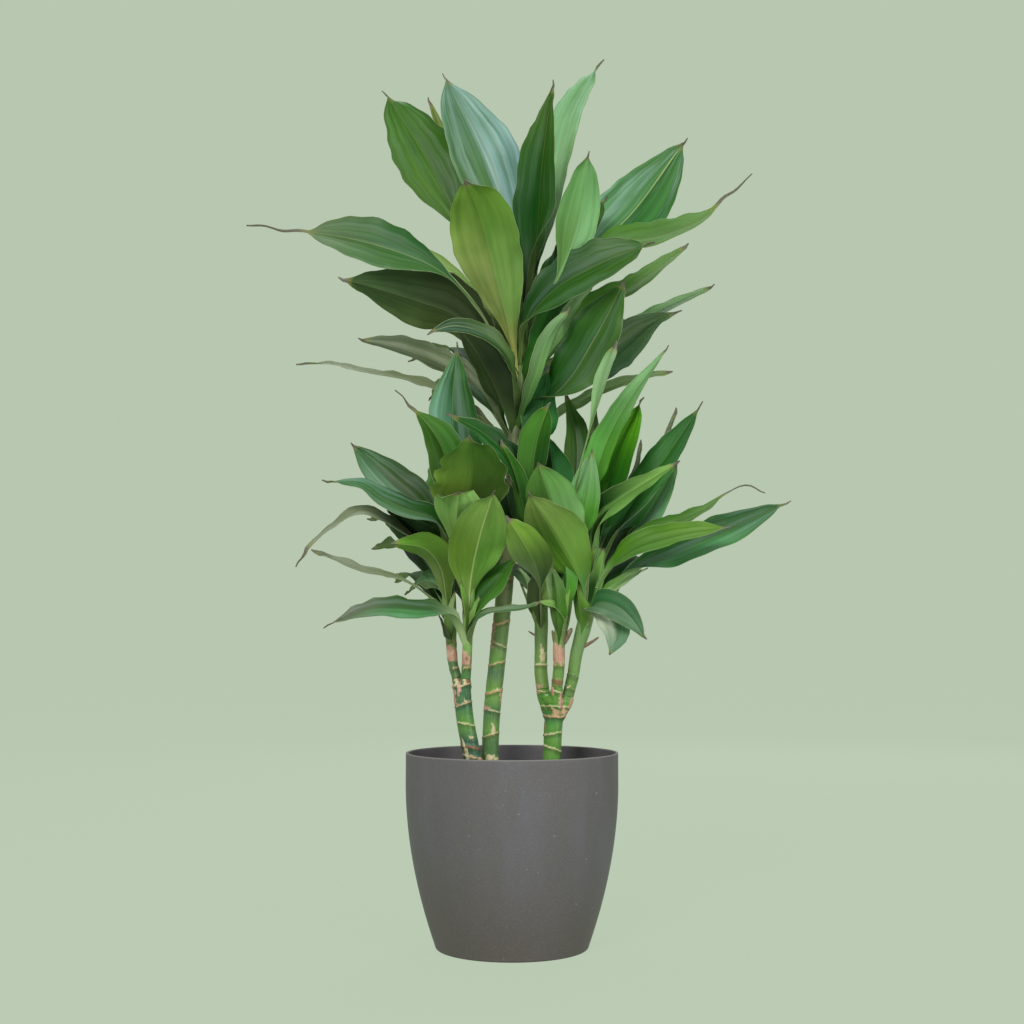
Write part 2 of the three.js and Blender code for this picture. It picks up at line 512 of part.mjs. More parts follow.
// A rib that leaves its shoot steeply and bends over, in three equal steps.
function archedRib(root, outward, rise, length) {
  const points = [root];
  for (const slope of [rise + BACK_LIFT, rise, rise - BACK_DROOP]) {
    const angle = THREE.MathUtils.degToRad(slope);
    const step = outward.clone().multiplyScalar(Math.cos(angle)).addScaledVector(UP, Math.sin(angle));
    points.push(points.at(-1).clone().addScaledVector(step, length / 3));
  }
  return points;
}

function dryStub({ from, to, radii }) {
  return stem(new THREE.LineCurve3(place(from), place(to)), [0, 1], (t) => lerp(...radii, t), STUB_SIDES);
}

function leafyShoot(name) {
  const curve = smoothCurve(SHOOT_PATHS[name].map(place));
  const bare = stem(curve, evenStations(SHOOT_STEPS), (t) => shootRadius(name, t), SHOOT_SIDES);
  const stubs = DRY_STUBS.filter((stub) => stub.shoot === name).map(dryStub);
  return fuse([bare, ...stubs, ...frontLeaves(name, curve), ...backLeaves(name, curve)]);
}

// ---- Pot and soil ----------------------------------------------------------------------------------------

function potRadius(height) {
  return RIM_RADIUS - BELLY_DRAW * Math.max(0, 1 - height / BELLY_HEIGHT) ** BELLY_POWER;
}

function lathe(profile) {
  const geometry = new THREE.LatheGeometry(profile.map(([r, z]) => new THREE.Vector2(r, z)), POT_SIDES);
  return geometry.rotateX(Math.PI / 2);
}

function planter() {
  const outerHeights = [14, 30, 50, 74, 104, 145];
  const footCentre = potRadius(FOOT_EDGE) - FOOT_EDGE;
  const footArc = [0, Math.PI / 4, Math.PI / 2].map((angle) =>
    [footCentre + FOOT_EDGE * Math.sin(angle), FOOT_EDGE * (1 - Math.cos(angle))]);
  return lathe([
    [0, 0],
    ...footArc,
    ...outerHeights.map((z) => [potRadius(z), z]),
    [RIM_RADIUS, POT_HEIGHT - RIM_EDGE],
    [RIM_RADIUS - RIM_EDGE, POT_HEIGHT],
    [RIM_RADIUS - POT_WALL + RIM_EDGE, POT_HEIGHT],
    [RIM_RADIUS - POT_WALL, POT_HEIGHT - RIM_EDGE],
    ...INNER_BENDS.toReversed().map((z) => [potRadius(z) - POT_WALL, z]),
    [potRadius(POT_FLOOR) - POT_WALL, POT_FLOOR],
    [0, POT_FLOOR],
  ]);
}

// The soil fills the pot to its level and is a little higher in the middle, with a plain hole for each cane.
function pottingSoil() {
  const inset = POT_WALL + 3 * GAP; // the straight facets of the soil stay inside those of the wall
  const heights = [POT_FLOOR + GAP, ...INNER_BENDS, SOIL_LEVEL];
  const edge = potRadius(SOIL_LEVEL) - inset;
  const block = lathe([
    [0, POT_FLOOR + GAP],
    ...heights.map((z) => [potRadius(z) - inset, z]),
    ...[0.85, 0.55, 0.28].map((share) => [edge * share, SOIL_LEVEL + SOIL_CROWN * (1 - share ** 2)]),
    [0, SOIL_LEVEL + SOIL_CROWN],
  ]);
  const holes = Object.values(CANES).map(caneHole);
  return toGeometry(holes.reduce((body, hole) => body.subtract(hole), toSolid(block)));
}

// Follows a cane's own line, wider by the gap and its scars, from just below its foot to clear of the soil.
function caneHole({ path, radius }) {
  const [foot, ...others] = path;
  const points = [foot, ...others].map(place);
  const below = points[0].clone().addScaledVector(points[1].clone().sub(points[0]).normalize(), -2 * GAP);
  return toSolid(stem(smoothCurve([below, ...points]), evenStations(HOLE_STEPS), () => radius + 3 * GAP));
}

// ---- The object ------------------------------------------------------------------------------------------

const POT_PLASTIC = { color: "#666565", roughness: 0.62, metalness: 0 };
const SOIL = { color: "#3a2c22", roughness: 1, metalness: 0 };
const CANE_BARK = { color: "#7c8a52", roughness: 0.55, metalness: 0 };
const LEAF_GREEN = { color: "#3f7031", roughness: 0.38, metalness: 0 };

function piece(name, geometry, finish) {
  geometry.computeVertexNormals();
  const mesh = new THREE.Mesh(geometry, new THREE.MeshStandardMaterial(finish));
  mesh.name = name;
  return mesh;
}

const plant = new THREE.Group();
plant.add(piece("planter", planter(), POT_PLASTIC));
plant.add(piece("potting_soil", pottingSoil(), SOIL));
for (const [name, spec] of Object.entries(CANES)) plant.add(piece(name, cane(spec), CANE_BARK));
for (const name of Object.keys(SHOOT_PATHS)) plant.add(piece(name, leafyShoot(name), LEAF_GREEN));

export default plant;
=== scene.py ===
# %% [markdown]
# # A potted dracaena
# The plant stands in a plain round pot: three bare canes, six leafy shoots and about a hundred long leaves.
# Its solids are already made at their real size. This lesson builds the visible surfaces round them: a
# smooth pot, crumbly soil, ringed canes and thin, pleated, waxy leaves. Everything is in metres, +Z up, and
# the front looks towards -Y. The solids come first, because every later piece takes its place from them.

# %% Load the solids
import math
import bpy
import numpy as np
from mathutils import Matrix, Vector, noise


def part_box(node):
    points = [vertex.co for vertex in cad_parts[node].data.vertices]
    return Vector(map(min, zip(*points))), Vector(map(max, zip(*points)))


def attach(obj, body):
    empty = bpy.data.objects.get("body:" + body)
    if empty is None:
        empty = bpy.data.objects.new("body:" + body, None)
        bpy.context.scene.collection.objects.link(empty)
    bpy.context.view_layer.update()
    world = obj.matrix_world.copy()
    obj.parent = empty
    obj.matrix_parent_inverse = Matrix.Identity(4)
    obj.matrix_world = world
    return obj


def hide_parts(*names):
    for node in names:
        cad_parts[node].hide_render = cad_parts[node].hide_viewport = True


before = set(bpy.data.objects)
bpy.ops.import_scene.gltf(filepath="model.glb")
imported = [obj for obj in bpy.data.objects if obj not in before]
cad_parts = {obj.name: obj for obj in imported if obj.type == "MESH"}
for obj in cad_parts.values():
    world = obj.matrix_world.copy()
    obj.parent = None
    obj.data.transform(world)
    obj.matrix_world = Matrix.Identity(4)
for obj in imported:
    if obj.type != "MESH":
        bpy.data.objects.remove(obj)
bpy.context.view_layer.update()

MM = 0.001

# %% [markdown]
# ## The eye
# The camera stands where the photographer stood, a metre and a half away and low down, and looks up a
# little. The leaves are placed from that same eye: for each point of a leaf we know how far across and how
# high it shows on the upright plane through the pot's axis, and how far it lies in front of that plane.
# `place` follows the sight line to that depth. So a leaf that is moved nearer keeps its outline as seen
# from the front.

# %% The eye, and placing by sight lines
EYE_DISTANCE = 1560.0  # millimetres, from the eye to the upright plane through the pot's axis
EYE_HEIGHT = 304.0
EYE_PITCH = math.radians(4.565)
MIDDLE_ROW = 436.0  # the height of the middle of the view, counted from the pot's foot
VIEW_WIDTH = 1024.0  # millimetres of that plane that the frame takes in
SENSOR = 36.0
EYE = np.array([0.0, -EYE_DISTANCE, EYE_HEIGHT])


def place(across, up, forward):
    side = across / EYE_DISTANCE
    rise = (up - MIDDLE_ROW) / EYE_DISTANCE
    ahead = math.cos(EYE_PITCH) - rise * math.sin(EYE_PITCH)
    climb = math.sin(EYE_PITCH) + rise * math.cos(EYE_PITCH)
    reach = (EYE_DISTANCE - forward) / ahead
    return np.array([side * reach, -forward, EYE_HEIGHT + climb * reach])


def add_object(name, data):
    made = bpy.data.objects.new(name, data)
    bpy.context.scene.collection.objects.link(made)
    return made


def make_camera():
    data = bpy.data.cameras.new("camera")
    data.sensor_width = SENSOR
    data.lens = SENSOR * EYE_DISTANCE / VIEW_WIDTH
    camera = add_object("camera", data)
    camera.location = Vector(EYE) * MM
    camera.rotation_euler = (math.pi / 2 + EYE_PITCH, 0, 0)
    bpy.context.scene.camera = camera
    return camera


camera = make_camera()
print("lens", round(camera.data.lens, 2), "mm, eye at", [round(v, 3) for v in camera.location])

# %% [markdown]
# ## Writing shaders as sums
# A material is a graph of nodes, and wiring it by hand hides the idea. `Wire` wraps one output of a node,
# so that `1 - mask * 0.5` adds the Math nodes by itself. It knows the three operators that this lesson's
# finishes use, and `step`, the soft threshold that turns a noise into patches.

# %% Wire
class Wire:
    """One output of a shader node, which can be used in an expression."""

    def __init__(self, recipe, output):
        self.recipe = recipe
        self.output = output

    def math(self, operation, first, second):
        return self.recipe.node("ShaderNodeMath", {"operation": operation}, {0: first, 1: second})

    def __add__(self, other):
        return self.math("ADD", self, other)

    def __radd__(self, other):
        return self.math("ADD", other, self)

    def __sub__(self, other):
        return self.math("SUBTRACT", self, other)

    def __rsub__(self, other):
        return self.math("SUBTRACT", other, self)

    def __mul__(self, other):
        return self.math("MULTIPLY", self, other)

    def __rmul__(self, other):
        return self.math("MULTIPLY", other, self)

    def step(self, low, high):
        """0 below low, 1 above high, and smooth between them. A low above the high turns it round."""
        settings = {"interpolation_type": "SMOOTHSTEP"}
        if low < high:
            return self.recipe.node("ShaderNodeMapRange", settings, {0: self, 1: low, 2: high})
        return self.recipe.node("ShaderNodeMapRange", settings, {0: self, 1: high, 2: low, 3: 1.0, 4: 0.0})


print("with a number on the left, a wire takes", [name for name in vars(Wire) if name.startswith("__r")])

# %% [markdown]
# ## Recipes
# `Recipe` is a new material with its main shader, and its `node` method adds any other node: first the
# node's settings, then the values or wires of its sockets. The short methods below it are the few nodes
# that come back in most finishes. Colours are written as a screen shows them, and `tint` turns them into
# light.

# %% Recipe
class Recipe:
    """A new material, with one method that adds a node."""

    def __init__(self, name, **constants):
        self.material = bpy.data.materials.new(name)
        self.material.use_nodes = True
        self.tree = self.material.node_tree
        self.shader = self.tree.nodes["Principled BSDF"]
        for socket, value in constants.items():
            self.shader.inputs[socket.replace("_", " ")].default_value = value

    def node(self, kind, settings=None, inputs=None, output=0):
        made = self.tree.nodes.new(kind)
        for key, value in (settings or {}).items():
            setattr(made, key, value)
        for key, value in (inputs or {}).items():
            if isinstance(value, Wire):
                self.tree.links.new(value.output, made.inputs[key])
            else:
                made.inputs[key].default_value = value
        return Wire(self, made.outputs[output])

    def set(self, socket, wire):
        self.tree.links.new(wire.output, self.shader.inputs[socket])

    def attribute(self, name):
        """A number that the mesh carries at each vertex."""
        return self.node("ShaderNodeAttribute", {"attribute_name": name}, output="Fac")

    def painted(self, name):
        """A colour that the mesh carries at each vertex."""
        return self.node("ShaderNodeAttribute", {"attribute_name": name}, output="Color")

    def at(self):
        """The place on the object, in metres."""
        return self.node("ShaderNodeTexCoord", output="Object")

    def vector(self, x, y, z):
        return self.node("ShaderNodeCombineXYZ", inputs={0: x, 1: y, 2: z})

    def drawn_out(self, vector, share):
        """The place with its height squeezed, so that a noise laid on it is drawn out upright."""
        return self.node("ShaderNodeVectorMath", {"operation": "MULTIPLY"}, {0: vector, 1: (1, 1, share)})

    def noise(self, vector, scale, detail=2.0, roughness=0.5):
        inputs = {"Vector": vector, "Scale": scale, "Detail": detail, "Roughness": roughness}
        return self.node("ShaderNodeTexNoise", inputs=inputs)

    def mix(self, share, first, second, how="MIX"):
        settings = {"data_type": "RGBA", "blend_type": how}
        return self.node("ShaderNodeMix", settings, {0: share, 6: first, 7: second}, output=2)

    def bump(self, height, distance):
        return self.node("ShaderNodeBump", inputs={"Height": height, "Distance": distance})


def tint(red, green, blue):
    """A colour as a screen shows it, 0 to 255, turned into the light that it stands for."""
    shares = [v / 255 for v in (red, green, blue)]
    return (*[v / 12.92 if v <= 0.04045 else ((v + 0.055) / 1.055) ** 2.4 for v in shares], 1.0)


print("a screen grey of 128 is a light of", round(tint(128, 128, 128)[0], 3))

# %% [markdown]
# ## The studio
# The light is soft, so that the leaves keep their own colours: a pale dome all round, one large lamp high
# in front on the left, a weaker one on the right, a cool one above and a soft one behind. The cool one is
# what the waxy upper faces mirror, and it gives them their bluish sheen. The one behind only brightens the
# far side: seen in the gloss it would draw hard white edges. The floor is a plain pale sheet that runs far
# out. It is lit from below, as on a light table, so the lamps leave only a faint shadow on it and the sheet
# stays even. The dome shows the camera the same tone, so the horizon hardly shows.

# %% Floor, dome and lamps
STUDIO_TONE = tint(184, 199, 176)
DOME_LIGHT = (0.95, 0.98, 1.0, 1.0)
DOME_STRENGTH = 0.34
FLOOR_RADIUS = 60.0
FLOOR_SIDES = 96
FLOOR_PAPER = 0.07  # how much of the lamps' light the sheet throws back, as a share of its tone
# Name, place, the height it aims at, size and power in watts, colour, and whether the gloss mirrors it.
LAMPS = [
    ("key", (-0.8, -2.5, 1.9), 0.45, 1.2, 62, (1.0, 0.98, 0.95), True),
    ("fill", (2.1, -1.9, 1.0), 0.4, 1.4, 28, (1.0, 0.99, 0.98), True),
    ("sheen", (-0.3, 0.9, 2.7), 0.6, 1.6, 16, (0.86, 0.95, 1.0), True),
    ("back", (0.9, 2.7, 1.5), 0.5, 1.4, 34, (0.98, 1.0, 0.98), False),
]


def full_turn(sides):
    """The angles that part a whole turn evenly."""
    return np.linspace(0, math.tau, sides + 1)[:-1]


def make_floor():
    mesh = bpy.data.meshes.new("floor")
    rim = [(FLOOR_RADIUS * math.cos(a), FLOOR_RADIUS * math.sin(a), 0) for a in full_turn(FLOOR_SIDES)]
    mesh.from_pydata(rim, [], [list(range(FLOOR_SIDES))])
    recipe = Recipe("floor_paper", Roughness=0.9, Specular_IOR_Level=0.0)
    recipe.shader.inputs["Base Color"].default_value = [v * FLOOR_PAPER for v in STUDIO_TONE[:3]] + [1]
    recipe.shader.inputs["Emission Color"].default_value = STUDIO_TONE
    recipe.shader.inputs["Emission Strength"].default_value = 1 - FLOOR_PAPER * DOME_STRENGTH
    mesh.materials.append(recipe.material)
    floor = add_object("floor", mesh)


def make_dome():
    world = bpy.data.worlds.new("studio")
    world.use_nodes = True
    bpy.context.scene.world = world
    tree = world.node_tree
    light = tree.nodes["Background"]
    light.inputs["Color"].default_value = DOME_LIGHT
    light.inputs["Strength"].default_value = DOME_STRENGTH
    shown = tree.nodes.new("ShaderNodeBackground")
    shown.inputs["Color"].default_value = STUDIO_TONE
    ray = tree.nodes.new("ShaderNodeLightPath")
    choice = tree.nodes.new("ShaderNodeMixShader")
    tree.links.new(ray.outputs["Is Camera Ray"], choice.inputs[0])
    tree.links.new(light.outputs[0], choice.inputs[1])
    tree.links.new(shown.outputs[0], choice.inputs[2])
    tree.links.new(choice.outputs[0], tree.nodes["World Output"].inputs["Surface"])


def make_lamp(name, position, aim, size, power, colour, mirrored):
    data = bpy.data.lights.new(name, "AREA")
    data.shape = "DISK"
    data.size = size
    data.energy = power
    data.color = colour
    lamp = add_object(name, data)
    lamp.location = position
    lamp.rotation_euler = (Vector((0, 0, aim)) - Vector(position)).to_track_quat("-Z", "Y").to_euler()
    lamp.visible_glossy = mirrored


make_floor()
make_dome()
for lamp in LAMPS:
    make_lamp(*lamp)
bpy.context.scene.view_settings.view_transform = "Standard"
print(len(LAMPS), "lamps and a dome of strength", DOME_STRENGTH)

# %% [markdown]
# ## Curves
# Every stem and every midrib is one smooth curve through a few points. The centripetal kind of curve
# doesn't overshoot where the points lie unevenly, so a leaf doesn't kink. `Curve` samples it finely once,
# and then gives the point and the direction at any share of its length.

# %% Curve
SHORTEST_STEP = 1e-4
HALF_CHORD = 0.004  # a direction is measured over this share of the length, on both sides
TINY = 1e-9  # keeps a direction from being divided by nought


def unit(vectors):
    return vectors / np.linalg.norm(vectors, axis=-1, keepdims=True)


def blend(first, second, share):
    return first + (second - first) * share


def smoothstep(values, low, high):
    x = np.clip((values - low) / (high - low), 0, 1)
    return x * x * (3 - 2 * x)


class Curve:
    SAMPLES = 240
    LOOKUPS = 401

    def __init__(self, points):
        points = np.array(points, float)
        ends = [2 * points[0] - points[1], *points, 2 * points[-1] - points[-2]]
        t = np.linspace(0, 1, self.SAMPLES // (len(points) - 1))[:, None]
        spans = [self.span(t, *four) for four in zip(ends, ends[1:], ends[2:], ends[3:])]
        self.line = np.vstack(spans)
        steps = np.linalg.norm(np.diff(self.line, axis=0), axis=1)
        self.run = np.concatenate([[0], np.cumsum(steps)])
        self.length = self.run[-1]

    def span(self, t, p0, p1, p2, p3):
        """The stretch from p1 to p2, bent by its neighbours p0 and p3."""
        pairs = ((p0, p1), (p1, p2), (p2, p3))
        d0, d1, d2 = [max(np.linalg.norm(b - a), SHORTEST_STEP) ** 0.5 for a, b in pairs]
        leave = ((p1 - p0) / d0 - (p2 - p0) / (d0 + d1) + (p2 - p1) / d1) * d1
        arrive = ((p2 - p1) / d1 - (p3 - p1) / (d1 + d2) + (p3 - p2) / d2) * d1
        bend = 3 * (p2 - p1) - 2 * leave - arrive
        return p1 + leave * t + bend * t**2 + (leave + arrive - 2 * (p2 - p1)) * t**3

    def at(self, shares):
        reach = np.asarray(shares) * self.length
        return np.stack([np.interp(reach, self.run, self.line[:, k]) for k in range(3)], -1)

    def along(self, shares):
        before, after = [np.clip(np.asarray(shares) + step, 0, 1) for step in (-HALF_CHORD, HALF_CHORD)]
        return unit(self.at(after) - self.at(before))

    def share_at_height(self, up):
        shares = np.linspace(0, 1, self.LOOKUPS)
        return shares[np.argmin(np.abs(self.at(shares)[:, 2] - place(0, up, 0)[2]))]


print("a test curve of", round(Curve([(0, 0, 0), (50, 0, 80), (90, 0, 90)]).length, 1), "mm")

# %% [markdown]
# ## Skins
# `Skin` collects rings of points into one mesh, with numbers and colours kept at each vertex, because the
# finishes need to know where on the leaf they are. `show` puts a finished mesh in the scene: it rides with
# the solids and stands for the one that it dresses.

# %% Skin
class Skin:
    """Vertices, faces and the values kept at the vertices of one growing mesh."""

    def __init__(self, name):
        self.name = name
        self.points = []
        self.faces = []
        self.slots = []
        self.values = {}
        self.count = 0

    def add_rings(self, rings, values, slot=0, thin=False):
        """Joins rings of points into a closed body. A thin one is closed across its flat way."""
        rows, around = rings.shape[:2]
        first = self.count + np.arange(rows * around).reshape(rows, around)
        after = np.roll(first, -1, axis=1)
        quads = np.stack([first[:-1], after[:-1], after[1:], first[1:]], -1).reshape(-1, 4).tolist()
        if thin:
            half = around // 2
            under, upper = first[:, :half], first[:, ::-1][:, :half]
            for row, turned_over in ((0, True), (-1, False)):
                cap = np.stack([under[row, :-1], under[row, 1:], upper[row, 1:], upper[row, :-1]], -1)
                quads += (cap[:, ::-1] if turned_over else cap).tolist()
        else:
            quads += [first[0, ::-1].tolist(), first[-1].tolist()]
        self.points.append(rings.reshape(-1, 3))
        self.faces += quads
        self.slots += [slot] * len(quads)
        for key, value in values.items():
            shape = (rows, around, 4) if key == "tone" else (rows, around)
            flat = np.broadcast_to(value, shape).reshape(rows * around, -1)
            self.values.setdefault(key, []).append(flat)
        self.count += rows * around

    def build(self, materials, crease=50):
        mesh = bpy.data.meshes.new(self.name)
        mesh.from_pydata((np.vstack(self.points) * MM).tolist(), [], self.faces)
        for material in materials:
            mesh.materials.append(material)
        mesh.polygons.foreach_set("material_index", self.slots)
        keep_values(mesh, {key: np.vstack(value) for key, value in self.values.items()})
        mesh.shade_smooth()
        mesh.set_sharp_from_angle(angle=math.radians(crease))
        return mesh


def keep_values(mesh, values):
    """Numbers have one column and colours four."""
    for key, value in values.items():
        wide = value.shape[-1] == 4
        layer = mesh.attributes.new(key, "FLOAT_COLOR" if wide else "FLOAT", "POINT")
        layer.data.foreach_set("color" if wide else "value", np.ascontiguousarray(value, np.float32).ravel())


def show(name, mesh, node):
    """Puts a finished mesh in the scene in place of the solid that it dresses."""
    piece = add_object(name, mesh)
    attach(piece, "root")
    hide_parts(node)
    print(name, "has", len(mesh.polygons), "faces")


print("a skin keeps", list(vars(Skin("test"))))

# %% [markdown]
# ## The pot
# The pot is one plastic moulding, turned about its axis: a straight collar, a belly that draws in to the
# foot, a small rounded edge below, and a thin rim. A spun profile is the natural way to make it, so we list
# the profile's heights, work the radius out by a formula, and turn it in fine steps. The profile goes up
# the outside, over the rim and down the inside, so the wall has its true thickness wherever we look.

# %% Pot profile and mesh
POT_HEIGHT = round(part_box("planter")[1].z / MM, 1)
RIM_RADIUS = 105.0
POT_WALL = 2.6
POT_FLOOR = 3.5
BELLY_HEIGHT = 160.0  # above this the wall is upright
BELLY_DRAW = 30.5  # how far the wall has drawn in at the foot
BELLY_POWER = 1.9
FOOT_EDGE = 3.0
RIM_EDGE = 0.7
EDGE_CLEAR = 6  # the plain wall starts and ends this far from the foot and the rim
FLOOR_CORNER = 4
OUTER_STEPS = 60
INNER_STEPS = 50
FOOT_STEPS = 7
RIM_STEPS = 5
POT_SIDES = 224
ON_AXIS = 0.01  # the radius of a ring that closes a turned body on its axis


def pot_radius(height):
    return RIM_RADIUS - BELLY_DRAW * max(0.0, 1 - height / BELLY_HEIGHT) ** BELLY_POWER


def arc(centre_radius, centre_height, radius, start, end, steps):
    """Part of a circle in the profile. Angles are in degrees, from level outwards."""
    angles = np.radians(np.linspace(start, end, steps))
    return [(centre_radius + radius * math.cos(a), centre_height + radius * math.sin(a)) for a in angles]


def pot_profile():
    collar = POT_HEIGHT - EDGE_CLEAR
    outer = [(pot_radius(z), z) for z in np.linspace(EDGE_CLEAR, collar, OUTER_STEPS)]
    inner_heights = np.linspace(collar, POT_FLOOR + FLOOR_CORNER, INNER_STEPS)
    inner = [(pot_radius(z) - POT_WALL, z) for z in inner_heights]
    foot_centre = pot_radius(FOOT_EDGE) - FOOT_EDGE
    rim_centre = POT_HEIGHT - RIM_EDGE
    return [
        (ON_AXIS, 0), (foot_centre * 0.5, 0), (foot_centre * 0.93, 0),
        *arc(foot_centre, FOOT_EDGE, FOOT_EDGE, -90, -8, FOOT_STEPS),
        *outer,
        *arc(RIM_RADIUS - RIM_EDGE, rim_centre, RIM_EDGE, 0, 90, RIM_STEPS),
        *arc(RIM_RADIUS - POT_WALL + RIM_EDGE, rim_centre, RIM_EDGE, 90, 180, RIM_STEPS),
        *inner,
        (pot_radius(POT_FLOOR) - POT_WALL - FLOOR_CORNER, POT_FLOOR), (ON_AXIS, POT_FLOOR),
    ]


def turned(profile, sides):
    """Rings of a profile turned about the upright axis, one ring for each of its points."""
    return np.array([[(r * math.cos(a), r * math.sin(a), z) for a in full_turn(sides)] for r, z in profile])


print("pot profile of", len(pot_profile()), "points, rim", 2 * RIM_RADIUS, "by", POT_HEIGHT, "mm")

# %% [markdown]
# ## Pot plastic
# The plastic is matt and dark grey. It isn't one flat tone: the moulding has faint upright cloudiness, a
# fine pearly grain, and here and there a light speck of dust. Each of these is a noise of its own scale,
# mixed in weakly, and the finest one also drives the bump, so the surface breaks up the light as real matt
# plastic does. Towards the foot the grey is painted darker and warmer, a painted shade, and a thin band
# round the top of the rim is painted paler, a painted highlight along its edge.

# %% Pot finish
POT_GREY = tint(93, 90, 92)
# Painted shade: the darker, warmer grey towards the foot.
POT_FOOT_SHADE = tint(88, 80, 78)
POT_COOL = tint(97, 95, 101)
POT_SPECK = tint(150, 148, 146)
# Painted highlight: the paler band round the top of the rim.
POT_RIM_HIGHLIGHT = tint(136, 133, 130)
FOOT_SHADE_BELOW = 0.12  # metres
RIM_HIGHLIGHT_FROM, RIM_HIGHLIGHT_TO = 0.1886, 0.1896


def pot_finish():
    recipe = Recipe("pot_plastic", Specular_IOR_Level=0.34)
    at = recipe.at()
    height = recipe.node("ShaderNodeSeparateXYZ", inputs={0: at}, output=2)
    clouds = recipe.noise(recipe.drawn_out(at, 0.25), 34, 3)
    grain = recipe.noise(at, 900, 2)
    dust = recipe.noise(at, 330, 1, 0.2)
    colour = recipe.mix(clouds.step(0.35, 0.7), POT_GREY, POT_COOL)
    # painted shade, darker and warmer towards the foot
    colour = recipe.mix(height.step(FOOT_SHADE_BELOW, 0.0) * 0.8, colour, POT_FOOT_SHADE)
    colour = recipe.mix(grain.step(0.5, 0.72) * 0.16, colour, POT_SPECK)
    colour = recipe.mix(dust.step(0.79, 0.83) * 0.6, colour, POT_SPECK)
    # painted highlight round the top of the rim
    colour = recipe.mix(height.step(RIM_HIGHLIGHT_FROM, RIM_HIGHLIGHT_TO) * 0.7, colour, POT_RIM_HIGHLIGHT)
    recipe.set("Base Color", colour)
    recipe.set("Roughness", 0.56 + grain * 0.1 - clouds * 0.08)
    recipe.set("Normal", recipe.bump(grain + clouds * 0.6, 0.00012))
    return recipe.material


pot_skin = Skin("pot")
pot_skin.add_rings(turned(pot_profile(), POT_SIDES), {})
show("pot", pot_skin.build([pot_finish()], crease=40), "planter")

# %% [markdown]
# ## Soil
# The soil stands a finger's width below the rim. A flat disc would look like a lid, so its top is a fine
# round grid that several scales of noise push up and down, a little higher round each cane.

# %% Soil surface
SOIL_LEVEL = 161.0
SOIL_CROWN = 5.0  # how much higher the middle stands than the edge
SOIL_INSET = 3.4  # how far its edge stays inside the pot's outer face
SOIL_FOOT = POT_FLOOR + 0.5
SOIL_SIDE_HEIGHTS = (SOIL_FOOT, 40, 90, 140)
SOIL_RINGS = 70
SOIL_SIDES = 200
CANE_FEET = [(-32.0, -9.0), (-22.6, 15.0), (38.4, -5.0)]
MOUND_HEIGHT = 2.4  # of the ridge that rings each cane
MOUND_RADIUS = 8
MOUND_SPREAD = 7
LUMP_HEIGHT = 1.5
CRUMB_HEIGHT = 0.8


def soil_height(x, y):
    reach = math.hypot(x, y) / (RIM_RADIUS - SOIL_INSET)
    height = SOIL_LEVEL + SOIL_CROWN * (1 - reach**2)
    for foot_x, foot_y in CANE_FEET:
        away = math.hypot(x - foot_x, y - foot_y)
        height += MOUND_HEIGHT * math.exp(-((away - MOUND_RADIUS) / MOUND_SPREAD) ** 2)
    lumps = noise.fractal(Vector((x, y, 0)) * 0.09, 0.6, 2.1, 4)
    crumbs = noise.fractal(Vector((x, y, 9)) * 0.42, 0.7, 2.2, 3)
    return height + LUMP_HEIGHT * lumps + CRUMB_HEIGHT * abs(crumbs)


def soil_rings():
    edge = pot_radius(SOIL_LEVEL) - SOIL_INSET
    side = [(ON_AXIS, SOIL_FOOT)] + [(pot_radius(z) - SOIL_INSET, z) for z in SOIL_SIDE_HEIGHTS]
    shares = np.linspace(1, 0, SOIL_RINGS) ** 0.8
    top = turned([(max(edge * share, ON_AXIS), 0) for share in shares], SOIL_SIDES)
    top[..., 2] = [[soil_height(x, y) for x, y, _ in ring] for ring in top]
    return np.concatenate([turned(side, SOIL_SIDES), top])


soil_skin = Skin("soil")
soil_skin.add_rings(soil_rings(), {"chip": 0.0})
print("soil surface of", soil_skin.count, "points")

# %% [markdown]
# ## Crumbs
# Loose crumbs, bark chips and pale grit lie on the soil. Each is a small lump: a ball of a few rings,
# squeezed, turned and roughened by its own random numbers. Flat ones read as bark, round ones as grit. A
# scatter could place them too, but a seeded loop is easier to read and lays the same crumbs on every run.

# %% Crumbs and chips
CRUMB_COUNT = 900
CRUMB_RINGS = 5
CRUMB_SIDES = 7
CRUMB_REACH = 96  # how far from the axis the outermost ones lie
BARK_SHARE = 0.3
BARK_SIZES = (2.2, 5.5)
GRIT_SIZES = (0.8, 2.2)
BARK_FLATNESS = 0.22
GRIT_FLATNESS = 0.7
REST_HEIGHT = 0.1  # of a crumb's middle above the soil, as a share of its size
random = np.random.default_rng(21)


def ball(rings, sides, pole):
    """Rings of a ball of radius 1, which stops short of its poles by an angle."""
    polar = np.linspace(pole, math.pi - pole, rings)
    around = full_turn(sides)
    return np.array([[(math.sin(p) * math.cos(a), math.sin(p) * math.sin(a), -math.cos(p)) for a in around]
                     for p in polar])


def random_turn():
    axes = np.linalg.qr(random.normal(size=(3, 3)))[0]
    return axes * np.sign(np.linalg.det(axes))


def crumb(centre, size, flatness):
    lump = ball(CRUMB_RINGS, CRUMB_SIDES, 0.12)
    lump *= random.uniform(0.75, 1.2, lump.shape[:2])[..., None]
    lump *= size * np.array([1, random.uniform(0.45, 0.9), flatness])
    return lump @ random_turn().T + centre


